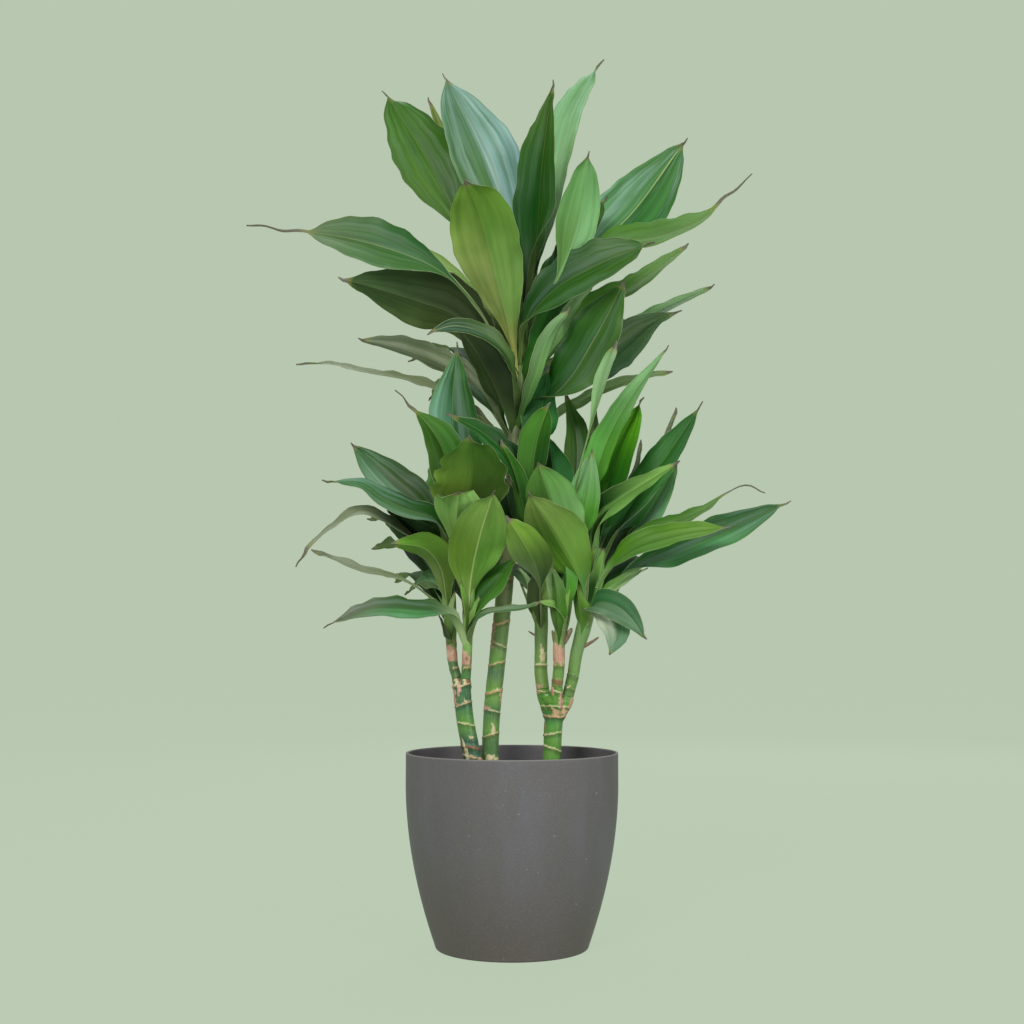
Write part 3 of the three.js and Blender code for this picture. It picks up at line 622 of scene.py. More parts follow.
def scatter_crumbs(skin):
    for _ in range(CRUMB_COUNT):
        reach = CRUMB_REACH * math.sqrt(random.uniform())
        angle = random.uniform(0, math.tau)
        x, y = reach * math.cos(angle), reach * math.sin(angle)
        bark = random.uniform() < BARK_SHARE
        size = random.uniform(*(BARK_SIZES if bark else GRIT_SIZES))
        centre = np.array([x, y, soil_height(x, y) + size * REST_HEIGHT])
        lump = crumb(centre, size, BARK_FLATNESS if bark else GRIT_FLATNESS)
        skin.add_rings(lump, {"chip": random.uniform(0.15, 1.0)})


scatter_crumbs(soil_skin)
print("soil with", CRUMB_COUNT, "crumbs")

# %% [markdown]
# ## Soil finish
# Moist peat is nearly black in its hollows and brown where it dries. Each crumb carries one random number,
# and the finish reads from it what the crumb is: dark peat, brown bark, or in a few cases pale grit.

# %% The finished soil
PEAT_MOIST = tint(44, 32, 24)
PEAT_DRY = tint(72, 54, 40)
PEAT_DEEP = tint(28, 20, 16)
BARK_BROWN = tint(96, 66, 42)
GRIT_PALE = tint(176, 168, 150)


def soil_finish():
    recipe = Recipe("soil_crumb", Specular_IOR_Level=0.25)
    chip = recipe.attribute("chip")
    at = recipe.at()
    fine = recipe.noise(at, 700, 4, 0.7)
    patches = recipe.noise(at, 60, 3)
    colour = recipe.mix(patches.step(0.3, 0.7), PEAT_MOIST, PEAT_DRY)
    colour = recipe.mix(chip.step(0.3, 0.6), colour, BARK_BROWN)
    colour = recipe.mix(chip.step(0.9, 0.94), colour, GRIT_PALE)
    colour = recipe.mix(fine.step(0.45, 0.7) * 0.5, colour, PEAT_DEEP)
    recipe.set("Base Color", colour)
    recipe.set("Roughness", 0.75 + fine * 0.25)
    recipe.set("Normal", recipe.bump(fine, 0.0006))
    return recipe.material


show("soil", soil_skin.build([soil_finish()]), "potting_soil")

# %% [markdown]
# ## Where the stems run
# A dracaena's cane is a green stem that ends, where it was cut back, in a knobbly healed callus, and new
# shoots grow out beside it. The shoots' centre lines are given first, from the fork upwards, because the
# canes branch towards them. Each point says how far across and how high it shows from the front, then how
# far forward it is.

# %% Lines of the shoots
SHOOT_PATHS = {
    "crown_tall": [(1, 470, -8), (4, 520, -6), (8, 580, -3), (12, 645, 0)],
    "shoot_left_outer": [(-55, 270, 8), (-59, 285, 6), (-61, 311, 4), (-63, 350, 2), (-67, 402, 0)],
    "shoot_left_inner": [(-46, 270, 16), (-45, 290, 19), (-44, 319, 21), (-43, 350, 20), (-47, 430, 16)],
    "shoot_right_inner": [(31, 259, -4), (29, 275, -6), (29, 300, -8), (29, 340, -8), (22, 430, 0)],
    "shoot_right_middle": [(45, 262, 12), (47, 282, 14), (47, 302, 15), (52, 340, 16), (60, 425, 10)],
    "shoot_right_outer": [(56, 252, 2), (61, 272, 2), (65, 296, 3), (74, 330, 4), (86, 400, -2)],
}
# The radius of a shoot at its foot, where leaves wrap it, and at its end.
SHOOT_RADII = {
    "crown_tall": (7.5, 7.5, 5.0),
    "shoot_left_outer": (5.0, 6.8, 4.0),
    "shoot_left_inner": (4.8, 6.0, 4.0),
    "shoot_right_inner": (6.4, 7.0, 4.0),
    "shoot_right_middle": (5.6, 7.6, 4.0),
    "shoot_right_outer": (5.8, 7.6, 4.0),
}
print(len(SHOOT_PATHS), "shoots")

# %% [markdown]
# ## Canes: the line and the marks
# The scars of fallen leaves ring a cane: thin, slanted, raised tan lines. We write each cane down as a
# maker would describe it: its line, its radius, the green of its skin at some heights, its rings with their
# heights at the left and the right, its patches of dry papery skin, its knobs, and the shoots that it forks
# into.

# %% The canes in numbers
TAN = (196, 160, 122)
PALE = (214, 204, 160)
PINK = (192, 146, 128)
BROWN = (128, 92, 66)
DARK = (48, 78, 58)

# Rings: height at the left, height at the right, half the thickness, colour.
# Patches: colour, bearing and half its spread in degrees (-90 is the front), lowest and highest height.
CANES = {
    "cane_left": {
        "path": [(-20, 66, 10), (-31, 145, 10), (-39, 189, 10), (-46.5, 226, 10), (-50, 258, 10)],
        "radius": 8.7,
        "bands": [(120, (62, 128, 58)), (206, (46, 92, 74)), (224, (92, 150, 58)), (243, (50, 104, 72))],
        "rings": [
            (193, 189, 1.2, TAN), (203, 199, 1.8, BROWN), (226, 222.5, 0.7, PALE), (241, 247, 0.9, TAN),
            (262, 265, 1.2, TAN),
        ],
        "patches": [
            (PINK, -160, 34, 243, 266), (PALE, -80, 16, 246, 249), (PALE, -70, 20, 209, 212),
            (PALE, -125, 16, 186, 206), (PALE, -100, 30, 262, 270), (BROWN, -60, 30, 264, 270),
        ],
        "knobs": [(-50, 261, 10, 9.6, 6.4), (-55, 266, 6, 5.0, 4.5), (-46, 267, 12, 4.6, 3.6)],
        "forks": ["shoot_left_outer", "shoot_left_inner"],
    },
    "cane_centre": {
        "path": [
            (-27, 66, -15), (-23, 150, -15), (-22, 189, -15), (-20, 235, -15),
            (-13, 304, -15), (-8, 353, -14), (-1, 462, -9),
        ],
        "radius": 8.5,
        # The palest greens high up, from 330 to 352, are partly painted light: lightened to make up for the
        # shade that the leaves cast on the cane there.
        "bands": [
            (120, (92, 150, 62)), (206, (76, 118, 70)), (216, (104, 154, 70)), (236, (70, 116, 68)),
            (248, (100, 148, 72)), (257, (104, 150, 60)), (276, (70, 104, 74)), (286, (98, 144, 62)),
            (304, (106, 138, 82)), (330, (112, 142, 82)), (352, (130, 142, 98)), (470, (104, 122, 76)),
        ],
        "rings": [
            (210.5, 216, 0.8, TAN), (240, 235, 0.7, PALE), (254, 258.5, 1.3, TAN), (282.5, 286.5, 0.8, TAN),
            (307, 300, 0.6, PALE), (322.5, 327.5, 1.5, TAN), (366, 370, 0.8, TAN), (410, 406, 0.8, TAN),
            (450, 453, 0.8, TAN),
        ],
        "patches": [
            (PINK, -140, 30, 237, 243), (PALE, -75, 14, 213, 224), (PALE, -70, 14, 257, 261),
            (PALE, -60, 60, 187, 193), (TAN, -30, 20, 245, 256), (PINK, -150, 24, 300, 330),
        ],
        "knobs": [],
        "forks": ["crown_tall"],
    },
    "cane_right": {
        "path": [(35, 66, 5), (38, 150, 5), (39.6, 189, 5), (41, 215, 5), (43, 242, 5)],
        "radius": 9.0,
        "bands": [(120, (58, 128, 50)), (203, (92, 150, 58)), (222, (84, 146, 60)), (231, (44, 106, 62)),
                  (244, (86, 142, 52))],
        "rings": [
            (203, 196.5, 0.7, PALE), (213, 216, 0.7, PALE), (232, 231, 1.0, TAN), (242, 241, 0.7, PALE),
            (258, 255, 0.9, PALE),
        ],
        "patches": [
            (TAN, -70, 50, 232, 239), (PINK, -25, 34, 238, 254), (BROWN, -178, 24, 212, 240),
            (PINK, -140, 26, 253, 262), (BROWN, -110, 16, 258, 266),
        ],
        "knobs": [
            (42, 247, 5, 10.6, 8.0), (35, 252, 4, 6.2, 5.5), (54, 245, 3, 6.2, 6.0), (45, 258, 11, 6.2, 4.6),
        ],
        "forks": ["shoot_right_inner", "shoot_right_middle", "shoot_right_outer"],
    },
}
print(len(CANES), "canes,", sum(len(cane["rings"]) for cane in CANES.values()), "rings")

# %% [markdown]
# ## Canes: one skin
# A cane, its callus and its short branches are one piece of wood. Tubes that only cross each other would
# show hard creases, so we build them separately, melt them together with a fine voxel remesh, and smooth
# the result a little.

# %% Tubes, and melting them together
CANE_VOXEL = 0.8
CANE_SIDES = 36
FORK_SINK = 14.0  # how far below the cane's top its branches part
FORK_BEND = 6.0
JOINT_GAP = 0.3
KNOB_RINGS = 14
KNOB_SIDES = 24
KNOB_DEPTH = 0.9  # how deep a knob is, as a share of its width


def tube_rings(curve, radius_at, step=3.0, sides=CANE_SIDES):
    """Rings along a curve, and the shares of its length where they lie."""
    shares = np.linspace(0, 1, max(3, round(curve.length / step)))
    along = curve.along(shares)
    across = unit(np.array([1.0, 0, 0]) - along * along[:, :1])
    forward = np.cross(along, across)
    angles = full_turn(sides)
    spokes = across[:, None] * np.cos(angles)[:, None] + forward[:, None] * np.sin(angles)[:, None]
    radii = np.array([radius_at(t) for t in shares])
    return curve.at(shares)[:, None] + spokes * radii[:, None, None], shares


def knob_rings(across, up, forward, half_width, half_height):
    half_sizes = (half_width, KNOB_DEPTH * half_width, half_height)
    return ball(KNOB_RINGS, KNOB_SIDES, 0.05) * half_sizes + place(across, up, forward)


def fork_line(name, cane):
    """The line by which a branch leaves the cane's middle and bends into its shoot."""
    path = Curve([place(*point) for point in SHOOT_PATHS[name]])
    along = path.along(0.0)
    end = path.at(0.0) - along * JOINT_GAP
    return Curve([cane.at(1.0) - cane.along(1.0) * FORK_SINK, end - along * FORK_BEND, end])


def melted(skin):
    rough = add_object(skin.name, skin.build([]))
    remesh = rough.modifiers.new("melt", "REMESH")
    remesh.mode = "VOXEL"
    remesh.voxel_size = CANE_VOXEL * MM
    smooth = rough.modifiers.new("smooth", "SMOOTH")
    smooth.factor = 0.5
    smooth.iterations = 3
    melted_mesh = bpy.data.meshes.new_from_object(rough.evaluated_get(bpy.context.evaluated_depsgraph_get()))
    bpy.data.objects.remove(rough)
    return melted_mesh


def cane_body(name, cane):
    """The melted mesh of a cane, and its centre lines."""
    curve = Curve([place(*point) for point in cane["path"]])
    skin = Skin(name)
    skin.add_rings(tube_rings(curve, lambda t: cane["radius"])[0], {})
    for knob in cane["knobs"]:
        skin.add_rings(knob_rings(*knob), {})
    lines = [curve]
    for fork in cane["forks"]:
        line = fork_line(fork, curve)
        radii = (cane["radius"] - 0.8, SHOOT_RADII[fork][0] + 0.3)
        skin.add_rings(tube_rings(line, lambda t: blend(*radii, smoothstep(t, 0.0, 0.8)), step=1.5)[0], {})
        lines.append(line)
    return melted(skin), lines


cane_bodies = {name: cane_body(name, cane) for name, cane in CANES.items()}
print({name: len(mesh.vertices) for name, (mesh, lines) in cane_bodies.items()})

# %% [markdown]
# ## Where a point lies on its stem
# The remesh forgets everything about the tubes. So afterwards we ask for each point which centre line is
# nearest, on which side of it the point lies, and how high the point shows from the front. Noise at the
# points breaks up what would otherwise be too clean.

# %% Finding points on a stem
STATIONS = 120  # the points of a centre line among which the nearest is looked for


def height_as_seen(points):
    """The height that a point shows from the eye, on the plane through the pot's axis."""
    depth = points[:, 1] + EYE_DISTANCE
    height = points[:, 2] - EYE_HEIGHT
    ahead = depth * math.cos(EYE_PITCH) + height * math.sin(EYE_PITCH)
    climb = height * math.cos(EYE_PITCH) - depth * math.sin(EYE_PITCH)
    return MIDDLE_ROW + EYE_DISTANCE * climb / ahead


def noise_at(points, scale, layer=0.0):
    return np.array([noise.noise(Vector(p) * scale + Vector((layer, 0, 0))) for p in points])


def bearing_of(away):
    """The bearing of each outward step, in degrees: -90 is the front."""
    return np.degrees(np.arctan2(away[:, 1], away[:, 0]))


def away_from_lines(points, lines):
    """The step to each point from the nearest of some centre lines."""
    stations = np.vstack([line.at(np.linspace(0, 1, STATIONS)) for line in lines])
    nearest = np.array([stations[np.argmin(((stations - p) ** 2).sum(1))] for p in points])
    return points - nearest


print("bearing of the front:", bearing_of(np.array([[0.0, -5.0, 0.0]]))[0])

# %% [markdown]
# ## Canes: rings and patches
# `mark_stem` does the painting for canes and shoots alike. A ring's height swings once round the stem, from
# its left value to its right one. Its edge is broken up by noise, because real scars are ragged. Each mark
# both colours the skin and moves it: a scar stands out, and a papery patch stands a little proud of the
# green.

# %% Marking a stem
RAGGED_SCALE = 0.35  # the noise that makes edges stray
FLAKY_SCALE = 1.1  # the finer noise that breaks them up
SWELL_SCALE = 0.09
SWELL = 0.25
BAND_STRAY = 2  # millimetres by which the borders of the greens stray
RING_STRAY = 1.1
RING_EDGE = (0.7, 1.5)  # where a ring fades out, in halves of its thickness
RING_PAPER = 0.7
RING_SHADE = 0.35  # the darker skin just below a ring
RING_SHADE_DROP = 2.6
RING_SHADE_REACH = 3.0
FURROW_DEPTH = 0.3  # of the shallow furrow above a ring
FURROW_REACH = 1.6
PATCH_LIFT = 0.3
PATCH_SLANT = 0.3  # how far the top of a dry patch leans, as a share of its height
PATCH_SIDE_FADE = 8  # degrees
PATCH_END_FADE = 1.2  # millimetres
PATCH_STRAY = 2.4
PATCH_FLAKES = 1.4


def bands_of(up, bands):
    heights = [band[0] for band in bands]
    colours = np.array([tint(*band[1]) for band in bands])
    return np.stack([np.interp(up, heights, colours[:, k]) for k in range(4)], -1)


def mark_stem(points, away, bands, rings, patches, raise_by):
    """Tone and paperiness of the skin at points, and how far it lifts. away is the step out from the stem."""
    up = height_as_seen(points)
    bearing = bearing_of(away)
    ragged = noise_at(points, RAGGED_SCALE)
    flaky = noise_at(points, FLAKY_SCALE, 9.0)
    tone = bands_of(up + BAND_STRAY * ragged, bands)
    paper = np.zeros(len(points))
    lift = SWELL * noise_at(points, SWELL_SCALE, 4.0)
    side = np.cos(np.radians(bearing))
    for left, right, half, colour in rings:
        above = up - ((left + right) / 2 + (right - left) / 2 * side)
        apart = np.abs(above + RING_STRAY * ragged) / (half * (0.8 + 0.7 * flaky))
        mask = 1 - smoothstep(apart, *RING_EDGE)
        shade = 1 - smoothstep(np.abs(above + RING_SHADE_DROP) / RING_SHADE_REACH, 0.3, 1.0)
        tone = tone * (1 - RING_SHADE * shade[:, None] * (1 - mask[:, None]))
        tone = blend(tone, np.array(tint(*colour)), mask[:, None])
        paper = np.maximum(paper, RING_PAPER * mask)
        furrow = np.exp(-(((above - 2.2 * half) / FURROW_REACH) ** 2))
        lift += raise_by * np.exp(-(apart**2) / 2.5) - FURROW_DEPTH * furrow
    for colour, centre, spread, low, high in patches:
        turn = (bearing - centre + 180) % 360 - 180
        top = high - (high - low) * PATCH_SLANT * turn / spread
        from_sides = (spread - np.abs(turn)) / PATCH_SIDE_FADE
        from_ends = np.minimum(up - low, top - up) / PATCH_END_FADE
        inside = np.minimum(from_sides, from_ends)
        mask = smoothstep(inside + PATCH_STRAY * ragged + PATCH_FLAKES * flaky, 0.0, 1.4)
        tone = blend(tone, np.array(tint(*colour)), mask[:, None])
        paper = np.maximum(paper, mask)
        lift += PATCH_LIFT * mask
    tone[:, 3] = 1
    return {"tone": tone, "paper": paper[:, None]}, lift


print(sum(len(cane["patches"]) for cane in CANES.values()), "dry patches on the canes")

# %% [markdown]
# ## Cane bark
# Between the rings the skin is smooth and satiny, green with faint upright streaks. Where it has dried it
# is dull and flaky. So the material only asks how papery the point is, and leans its gloss and its bump on
# that.

# %% Bark finish, and the finished canes
STREAK_PALE = tint(168, 184, 110)
BLOTCH_DARK = tint(66, 92, 52)
FLAKE_BROWN = tint(124, 86, 68)
FLAKE_PALE = tint(226, 208, 178)
CANE_RAISE = 0.55  # how far a ring stands out


def bark_finish(name):
    recipe = Recipe(name, Specular_IOR_Level=0.5)
    paper = recipe.attribute("paper")
    at = recipe.at()
    streaks = recipe.noise(recipe.drawn_out(at, 0.12), 900, 3)
    blotches = recipe.noise(recipe.drawn_out(at, 0.5), 130, 3)
    flakes = recipe.noise(recipe.drawn_out(at, 0.4), 300, 3, 0.6)
    colour = recipe.mix(streaks.step(0.4, 0.75) * 0.22, recipe.painted("tone"), STREAK_PALE)
    colour = recipe.mix(blotches.step(0.56, 0.75) * 0.4, colour, BLOTCH_DARK)
    colour = recipe.mix(paper * flakes.step(0.48, 0.66) * 0.3, colour, FLAKE_BROWN)
    colour = recipe.mix(paper * flakes.step(0.48, 0.32) * 0.4, colour, FLAKE_PALE)
    recipe.set("Base Color", colour)
    recipe.set("Roughness", 0.3 + paper * 0.45 + blotches * 0.14)
    recipe.set("Normal", recipe.bump(streaks * 0.35 + flakes * paper, 0.0004))
    return recipe.material


BARK = bark_finish("cane_bark")


def finish_cane(name, cane):
    mesh, lines = cane_bodies[name]
    points = np.empty(len(mesh.vertices) * 3, np.float32)
    mesh.vertices.foreach_get("co", points)
    points = points.reshape(-1, 3).astype(float) / MM
    away = away_from_lines(points, lines)
    values, lift = mark_stem(points, away, cane["bands"], cane["rings"], cane["patches"], CANE_RAISE)
    buried = points[:, 2] < SOIL_LEVEL
    moved = points + unit(away + TINY) * np.where(buried, 0, lift)[:, None]
    mesh.vertices.foreach_set("co", (moved * MM).astype(np.float32).ravel())
    keep_values(mesh, values)
    mesh.materials.clear()
    mesh.materials.append(BARK)
    mesh.shade_smooth()
    show(name + "_bark", mesh, name)


for name, cane in CANES.items():
    finish_cane(name, cane)

# %% [markdown]
# ## Leaf tones
# From a step away a dracaena is all green, yet few of its leaves share a green. Young leaves are bright,
# undersides are yellower, and the darkest, deep in the crown, are nearly black: partly their own green and
# partly painted shade. Where the wax mirrors the cool lamp they turn steel blue, and some tones paint that
# sheen in as a pale blue half. A dark foot paints the shade deep in the crown, and one half lighter than
# the other paints a fold that is lit on one side. We name the tones as a painter would. Their colours, in
# rounded numbers, were matched to the leaves in the photograph. Each has a colour for the leaf's foot, for
# its left half, its right half and its end, and then four strengths: of a pale midrib, of stripes, which
# are partly painted highlight along the pleats, of the wax's gloss with its painted bluish sheen, and of
# the frill along its margin. They describe the face that looks to the front. The other face is worked out
# from them.

# %% The tones
TONES = {
    "moss": ((66, 72, 36), (44, 86, 16), (72, 108, 42), (56, 102, 20), 0.3, 0.7, 0.1, 0.6),
    "steel": ((46, 84, 22), (112, 152, 146), (70, 108, 60), (88, 126, 102), 0.4, 1.2, 0.4, 0.2),
    "lime": ((80, 104, 40), (118, 142, 56), (112, 136, 52), (104, 122, 56), 0.2, 0.3, 0.0, 0.2),
    "honey": ((208, 206, 118), (132, 148, 82), (108, 142, 70), (98, 140, 44), 0.05, 0.15, 0.0, 0.3),
    "deep": ((42, 74, 22), (36, 82, 14), (20, 76, 10), (60, 98, 22), 0.3, 0.6, 0.1, 0.3),
    "mint": ((26, 62, 20), (128, 172, 116), (118, 162, 110), (118, 168, 118), 0.2, 0.5, 0.1, 0.5),
    "celadon": ((90, 134, 66), (76, 118, 52), (130, 180, 124), (104, 156, 94), 0.2, 0.5, 0.1, 0.3),
    "silver": ((40, 80, 26), (40, 104, 34), (80, 132, 82), (62, 108, 52), 1.0, 1.2, 0.5, 0.2),
    "leek": ((66, 98, 36), (82, 120, 54), (62, 110, 28), (108, 142, 84), 0.2, 0.5, 0.0, 0.7),
    "fern": ((66, 106, 40), (40, 86, 18), (22, 68, 12), (54, 94, 20), 0.3, 0.6, 0.1, 0.9),
    "ivy": ((22, 58, 16), (58, 94, 40), (28, 78, 12), (56, 100, 26), 0.5, 0.4, 0.1, 0.5),
    "ribbon": ((66, 108, 44), (88, 122, 72), (120, 168, 98), (128, 162, 118), 0.2, 0.4, 0.1, 0.4),
    "lagoon": ((34, 66, 38), (76, 118, 74), (90, 114, 68), (80, 112, 66), 0.2, 0.5, 0.2, 0.8),
    "olive": ((84, 100, 52), (136, 168, 92), (134, 166, 114), (130, 152, 104), 0.2, 0.4, 0.0, 0.4),
    "night": ((16, 36, 16), (24, 78, 28), (40, 110, 44), (24, 80, 28), 0.1, 0.2, 0.2, 0.3),
    "cream_rib": ((126, 130, 82), (32, 88, 26), (58, 102, 44), (110, 126, 92), 0.45, 0.8, 0.1, 0.5),
    "umber": ((54, 66, 34), (74, 92, 48), (46, 60, 30), (56, 84, 44), 0.1, 0.5, 0.0, 0.5),
    "walnut": ((70, 94, 46), (58, 76, 38), (48, 64, 38), (42, 58, 28), 0.2, 0.5, 0.0, 0.5),
    "emerald": ((50, 84, 22), (30, 80, 18), (78, 118, 74), (44, 110, 38), 0.3, 0.4, 0.4, 0.4),
    "wave": ((62, 96, 52), (78, 106, 54), (42, 80, 22), (22, 60, 16), 0.5, 0.3, 0.4, 0.6),
    "mauve": ((54, 74, 32), (116, 128, 96), (136, 146, 120), (130, 138, 120), 0.3, 0.8, 0.0, 0.8),
    "blue_stripe": ((40, 84, 22), (16, 72, 12), (92, 148, 114), (56, 108, 44), 0.3, 1.1, 0.25, 0.3),
    "meadow": ((70, 106, 42), (52, 110, 20), (52, 92, 20), (68, 112, 36), 0.3, 0.3, 0.1, 0.4),
    "ruffle": ((108, 124, 46), (110, 140, 54), (76, 104, 42), (60, 102, 28), 0.1, 0.3, 0.0, 1.5),
    "sunlit": ((142, 174, 94), (100, 134, 46), (120, 170, 74), (132, 168, 84), 1.1, 0.15, 0.0, 0.2),
    "pale": ((124, 160, 76), (110, 142, 68), (116, 162, 82), (126, 168, 90), 0.2, 0.2, 0.0, 0.3),
    "two_greens": ((76, 110, 42), (70, 108, 34), (124, 176, 104), (94, 144, 66), 0.5, 0.2, 0.0, 0.2),
    "autumn": ((158, 180, 134), (42, 80, 30), (68, 126, 68), (98, 102, 86), 0.1, 0.4, 0.2, 1.3),
    "slate": ((36, 58, 24), (50, 80, 30), (122, 158, 128), (56, 100, 54), 0.1, 0.8, 0.2, 0.3),
    "pitch": ((18, 34, 16), (28, 52, 24), (40, 76, 32), (28, 58, 24), 0.2, 0.3, 0.1, 0.5),
    "apple": ((98, 114, 78), (96, 120, 60), (68, 96, 28), (112, 164, 58), 0.5, 0.2, 0.0, 0.5),
    "brown_lit": ((118, 136, 88), (122, 142, 100), (68, 92, 46), (130, 170, 62), 0.35, 0.2, 0.0, 0.3),
    "parrot": ((64, 112, 46), (72, 122, 46), (36, 82, 22), (62, 118, 30), 0.3, 0.4, 0.0, 0.3),
    "frilled": ((38, 70, 26), (30, 62, 22), (28, 82, 12), (24, 90, 12), 0.3, 0.3, 0.1, 1.8),
    "spring": ((90, 154, 70), (78, 142, 56), (78, 140, 44), (124, 166, 118), 0.2, 0.5, 0.0, 0.3),
    "leaf_green": ((106, 168, 98), (94, 142, 46), (108, 150, 62), (136, 160, 84), 0.3, 0.2, 0.0, 0.2),
    "vivid": ((120, 188, 98), (28, 86, 10), (60, 138, 12), (88, 158, 24), 0.2, 0.6, 0.0, 0.4),
    "bottle": ((44, 86, 24), (44, 106, 32), (48, 112, 40), (34, 86, 24), 0.3, 0.4, 0.1, 0.3),
    "blue_strip": ((58, 88, 44), (104, 150, 116), (44, 108, 36), (124, 184, 116), 0.2, 0.5, 0.3, 0.2),
    "chartreuse": ((140, 190, 106), (22, 64, 14), (144, 196, 104), (134, 180, 92), 0.3, 0.3, 0.0, 0.4),
    "banana": ((188, 226, 162), (82, 126, 52), (72, 118, 26), (96, 138, 42), 0.2, 0.4, 0.0, 0.5),
    "teal": ((30, 92, 24), (86, 154, 90), (18, 76, 14), (50, 94, 48), 0.3, 0.4, 0.2, 0.4),
    "sea": ((120, 168, 80), (82, 116, 80), (48, 98, 54), (88, 126, 94), 0.3, 0.4, 0.2, 0.5),
    "faded": ((148, 168, 126), (204, 214, 192), (84, 126, 84), (80, 122, 88), 0.4, 0.6, 0.1, 0.5),
    "pale_wave": ((118, 158, 90), (164, 198, 146), (172, 222, 132), (190, 218, 170), 0.3, 0.3, 0.0, 0.6),
}
MIDRIB, STRIPES, WAX_AND_PAINTED_SHEEN, FRILL = range(4, 8)  # where the four strengths stand in a tone
print(len(TONES), "tones")

# %% [markdown]
# ## Leaves: the rows of the crown
# Now the heart of the plant. The leaves that the front shows are listed one by one, because their places
# are what makes this plant itself. A row holds the tone, the width, the V of the blade in degrees, how it
# faces the front (0 shows its whole upper face, 90 its edge, 180 its underside), the share of its length
# that is stalk, where along it is widest, its dry tip as a share of its length, the height of its root, and
# then the points of its rib: across, up, forward. The crown comes first: its upright leaves, then those of
# the right side, then the left.

# %% The crown's rows
FRONT_LEAVES = {}
FRONT_LEAVES["crown_tall"] = [
    ("moss", 70, 12, 20, 0.4, 0.66, 0.03, 604, (-34, 690, -8), (-62, 745, -16), (-92, 800, -28),
        (-129, 858, -45)),
    ("steel", 70, 10, 18, 0, 0.62, 0.03, 626, (2, 700, -4), (-12, 745, -8), (-31, 795, -16),
        (-69, 875, -30)),
    ("lime", 22, 20, 30, 0, 0.55, 0.03, 608, (-35, 715, -40), (-65, 800, -62), (-84, 851, -75)),
    ("honey", 66, 14, 172, 0.08, 0.7, 0.02, 563, (-2, 612, 25), (-18, 676, 60), (-32, 730, 90),
        (-47, 769, 122)),
    ("deep", 52, 36, 25, 0, 0.52, 0.04, 638, (20, 660, 0), (26, 721, 4), (29, 770, 6), (41, 868, -5)),
    ("mint", 38, 14, 30, 0, 0.68, 0.03, 632, (30, 700, -45), (45, 785, -88), (58, 835, -112),
        (91, 889, -138)),
    ("celadon", 42, 16, 160, 0.34, 0.66, 0.02, 624, (44, 666, 50), (60, 704, 50), (70, 742, 54),
        (77, 797, 70)),
    ("silver", 72, 12, 18, 0, 0.6, 0.03, 600, (62, 678, -38), (119, 734, -54), (175, 810, -80)),
    ("fern", 34, 20, 40, 0.1, 0.7, 0.03, 612, (58, 692, -20), (80, 728, -20), (96, 752, -20)),
    ("leek", 38, 16, 48, 0.3, 0.62, 0.18, 592, (64, 668, 26), (106, 704, 36), (150, 714, 40),
        (192, 731, 40), (214, 752, 38), (239, 773, 32)),
    ("fern", 54, 14, 36, 0.12, 0.62, 0.03, 578, (14, 622, 30), (40, 656, 48), (88, 684, 62),
        (143, 706, 74)),
    ("leek", 25, 16, 45, 0, 0.6, 0.03, 583, (70, 639, -32), (118, 661, -46), (177, 704, -62)),
    ("ivy", 56, 14, 22, 0, 0.58, 0.02, 533, (50, 560, 22), (84, 612, 40), (113, 667, 58)),
    ("ribbon", 17, 16, 45, 0, 0.6, 0.03, 573, (90, 608, -50), (145, 635, -62), (203, 663, -80)),
    ("lagoon", 50, 16, 28, 0, 0.52, 0.05, 539, (58, 564, -18), (106, 600, -28), (140, 625, -34),
        (170, 638, -38)),
    ("olive", 20, 20, 55, 0, 0.6, 0.03, 503, (60, 540, -36), (100, 560, -46), (161, 577, -56)),
    ("night", 40, 24, 160, 0, 0.52, 0.03, 499, (24, 505, 12), (31, 545, 18), (37, 581, 22)),
    ("ribbon", 16, 20, 150, 0, 0.6, 0.03, 517, (22, 568, 42), (36, 610, 52), (58, 641, 58)),
    ("ribbon", 14, 20, 150, 0, 0.6, 0.03, 554, (42, 602, 28), (60, 640, 34), (82, 664, 40)),
    ("bottle", 30, 16, 150, 0, 0.6, 0.03, 559, (32, 615, 20), (50, 655, 26), (58, 690, 30)),
    ("cream_rib", 52, 14, 34, 0.4, 0.72, 0.2, 569, (-14, 604, 30), (-34, 638, 42), (-72, 677, 42),
        (-137, 703, 34), (-211, 717, 16), (-264, 721, 0)),
    ("olive", 22, 14, 46, 0, 0.6, 0.03, 589, (-60, 672, -42), (-120, 706, -48), (-176, 728, -52)),
    ("umber", 68, 14, 148, 0.1, 0.58, 0.04, 544, (-25, 600, 14), (-56, 632, 20), (-92, 646, 24),
        (-136, 660, 24), (-174, 670, 20)),
    ("olive", 44, 14, 52, 0, 0.55, 0.03, 578, (-50, 650, -18), (-95, 674, -26), (-145, 688, -34)),
    ("wave", 19, 18, 50, 0, 0.6, 0.03, 529, (-4, 590, 60), (-20, 608, 72), (-40, 619, 80), (-61, 622, 86),
        (-85, 614, 92)),
    ("mauve", 38, 16, 128, 0.1, 0.58, 0.03, 503, (-31, 558, -18), (-66, 582, -34), (-108, 599, -44),
        (-154, 609, -52)),
    ("mauve", 17, 20, 60, 0, 0.45, 0.05, 497, (-62, 552, -34), (-100, 567, -42), (-146, 576, -48),
        (-180, 584, -52), (-216, 584, -54)),
    ("walnut", 44, 16, 140, 0, 0.55, 0.03, 510, (-16, 560, 22), (-38, 600, 36), (-60, 628, 44)),
]
print(len(FRONT_LEAVES["crown_tall"]), "leaves in the crown's front")

# %% [markdown]
# ## Leaves: the rows of the left shoots
# The left cane carries two shoots. The outer one reaches far out to the left, where a long narrow leaf
# curls down, and the inner one holds the broad ruffled leaf in the middle of the plant.

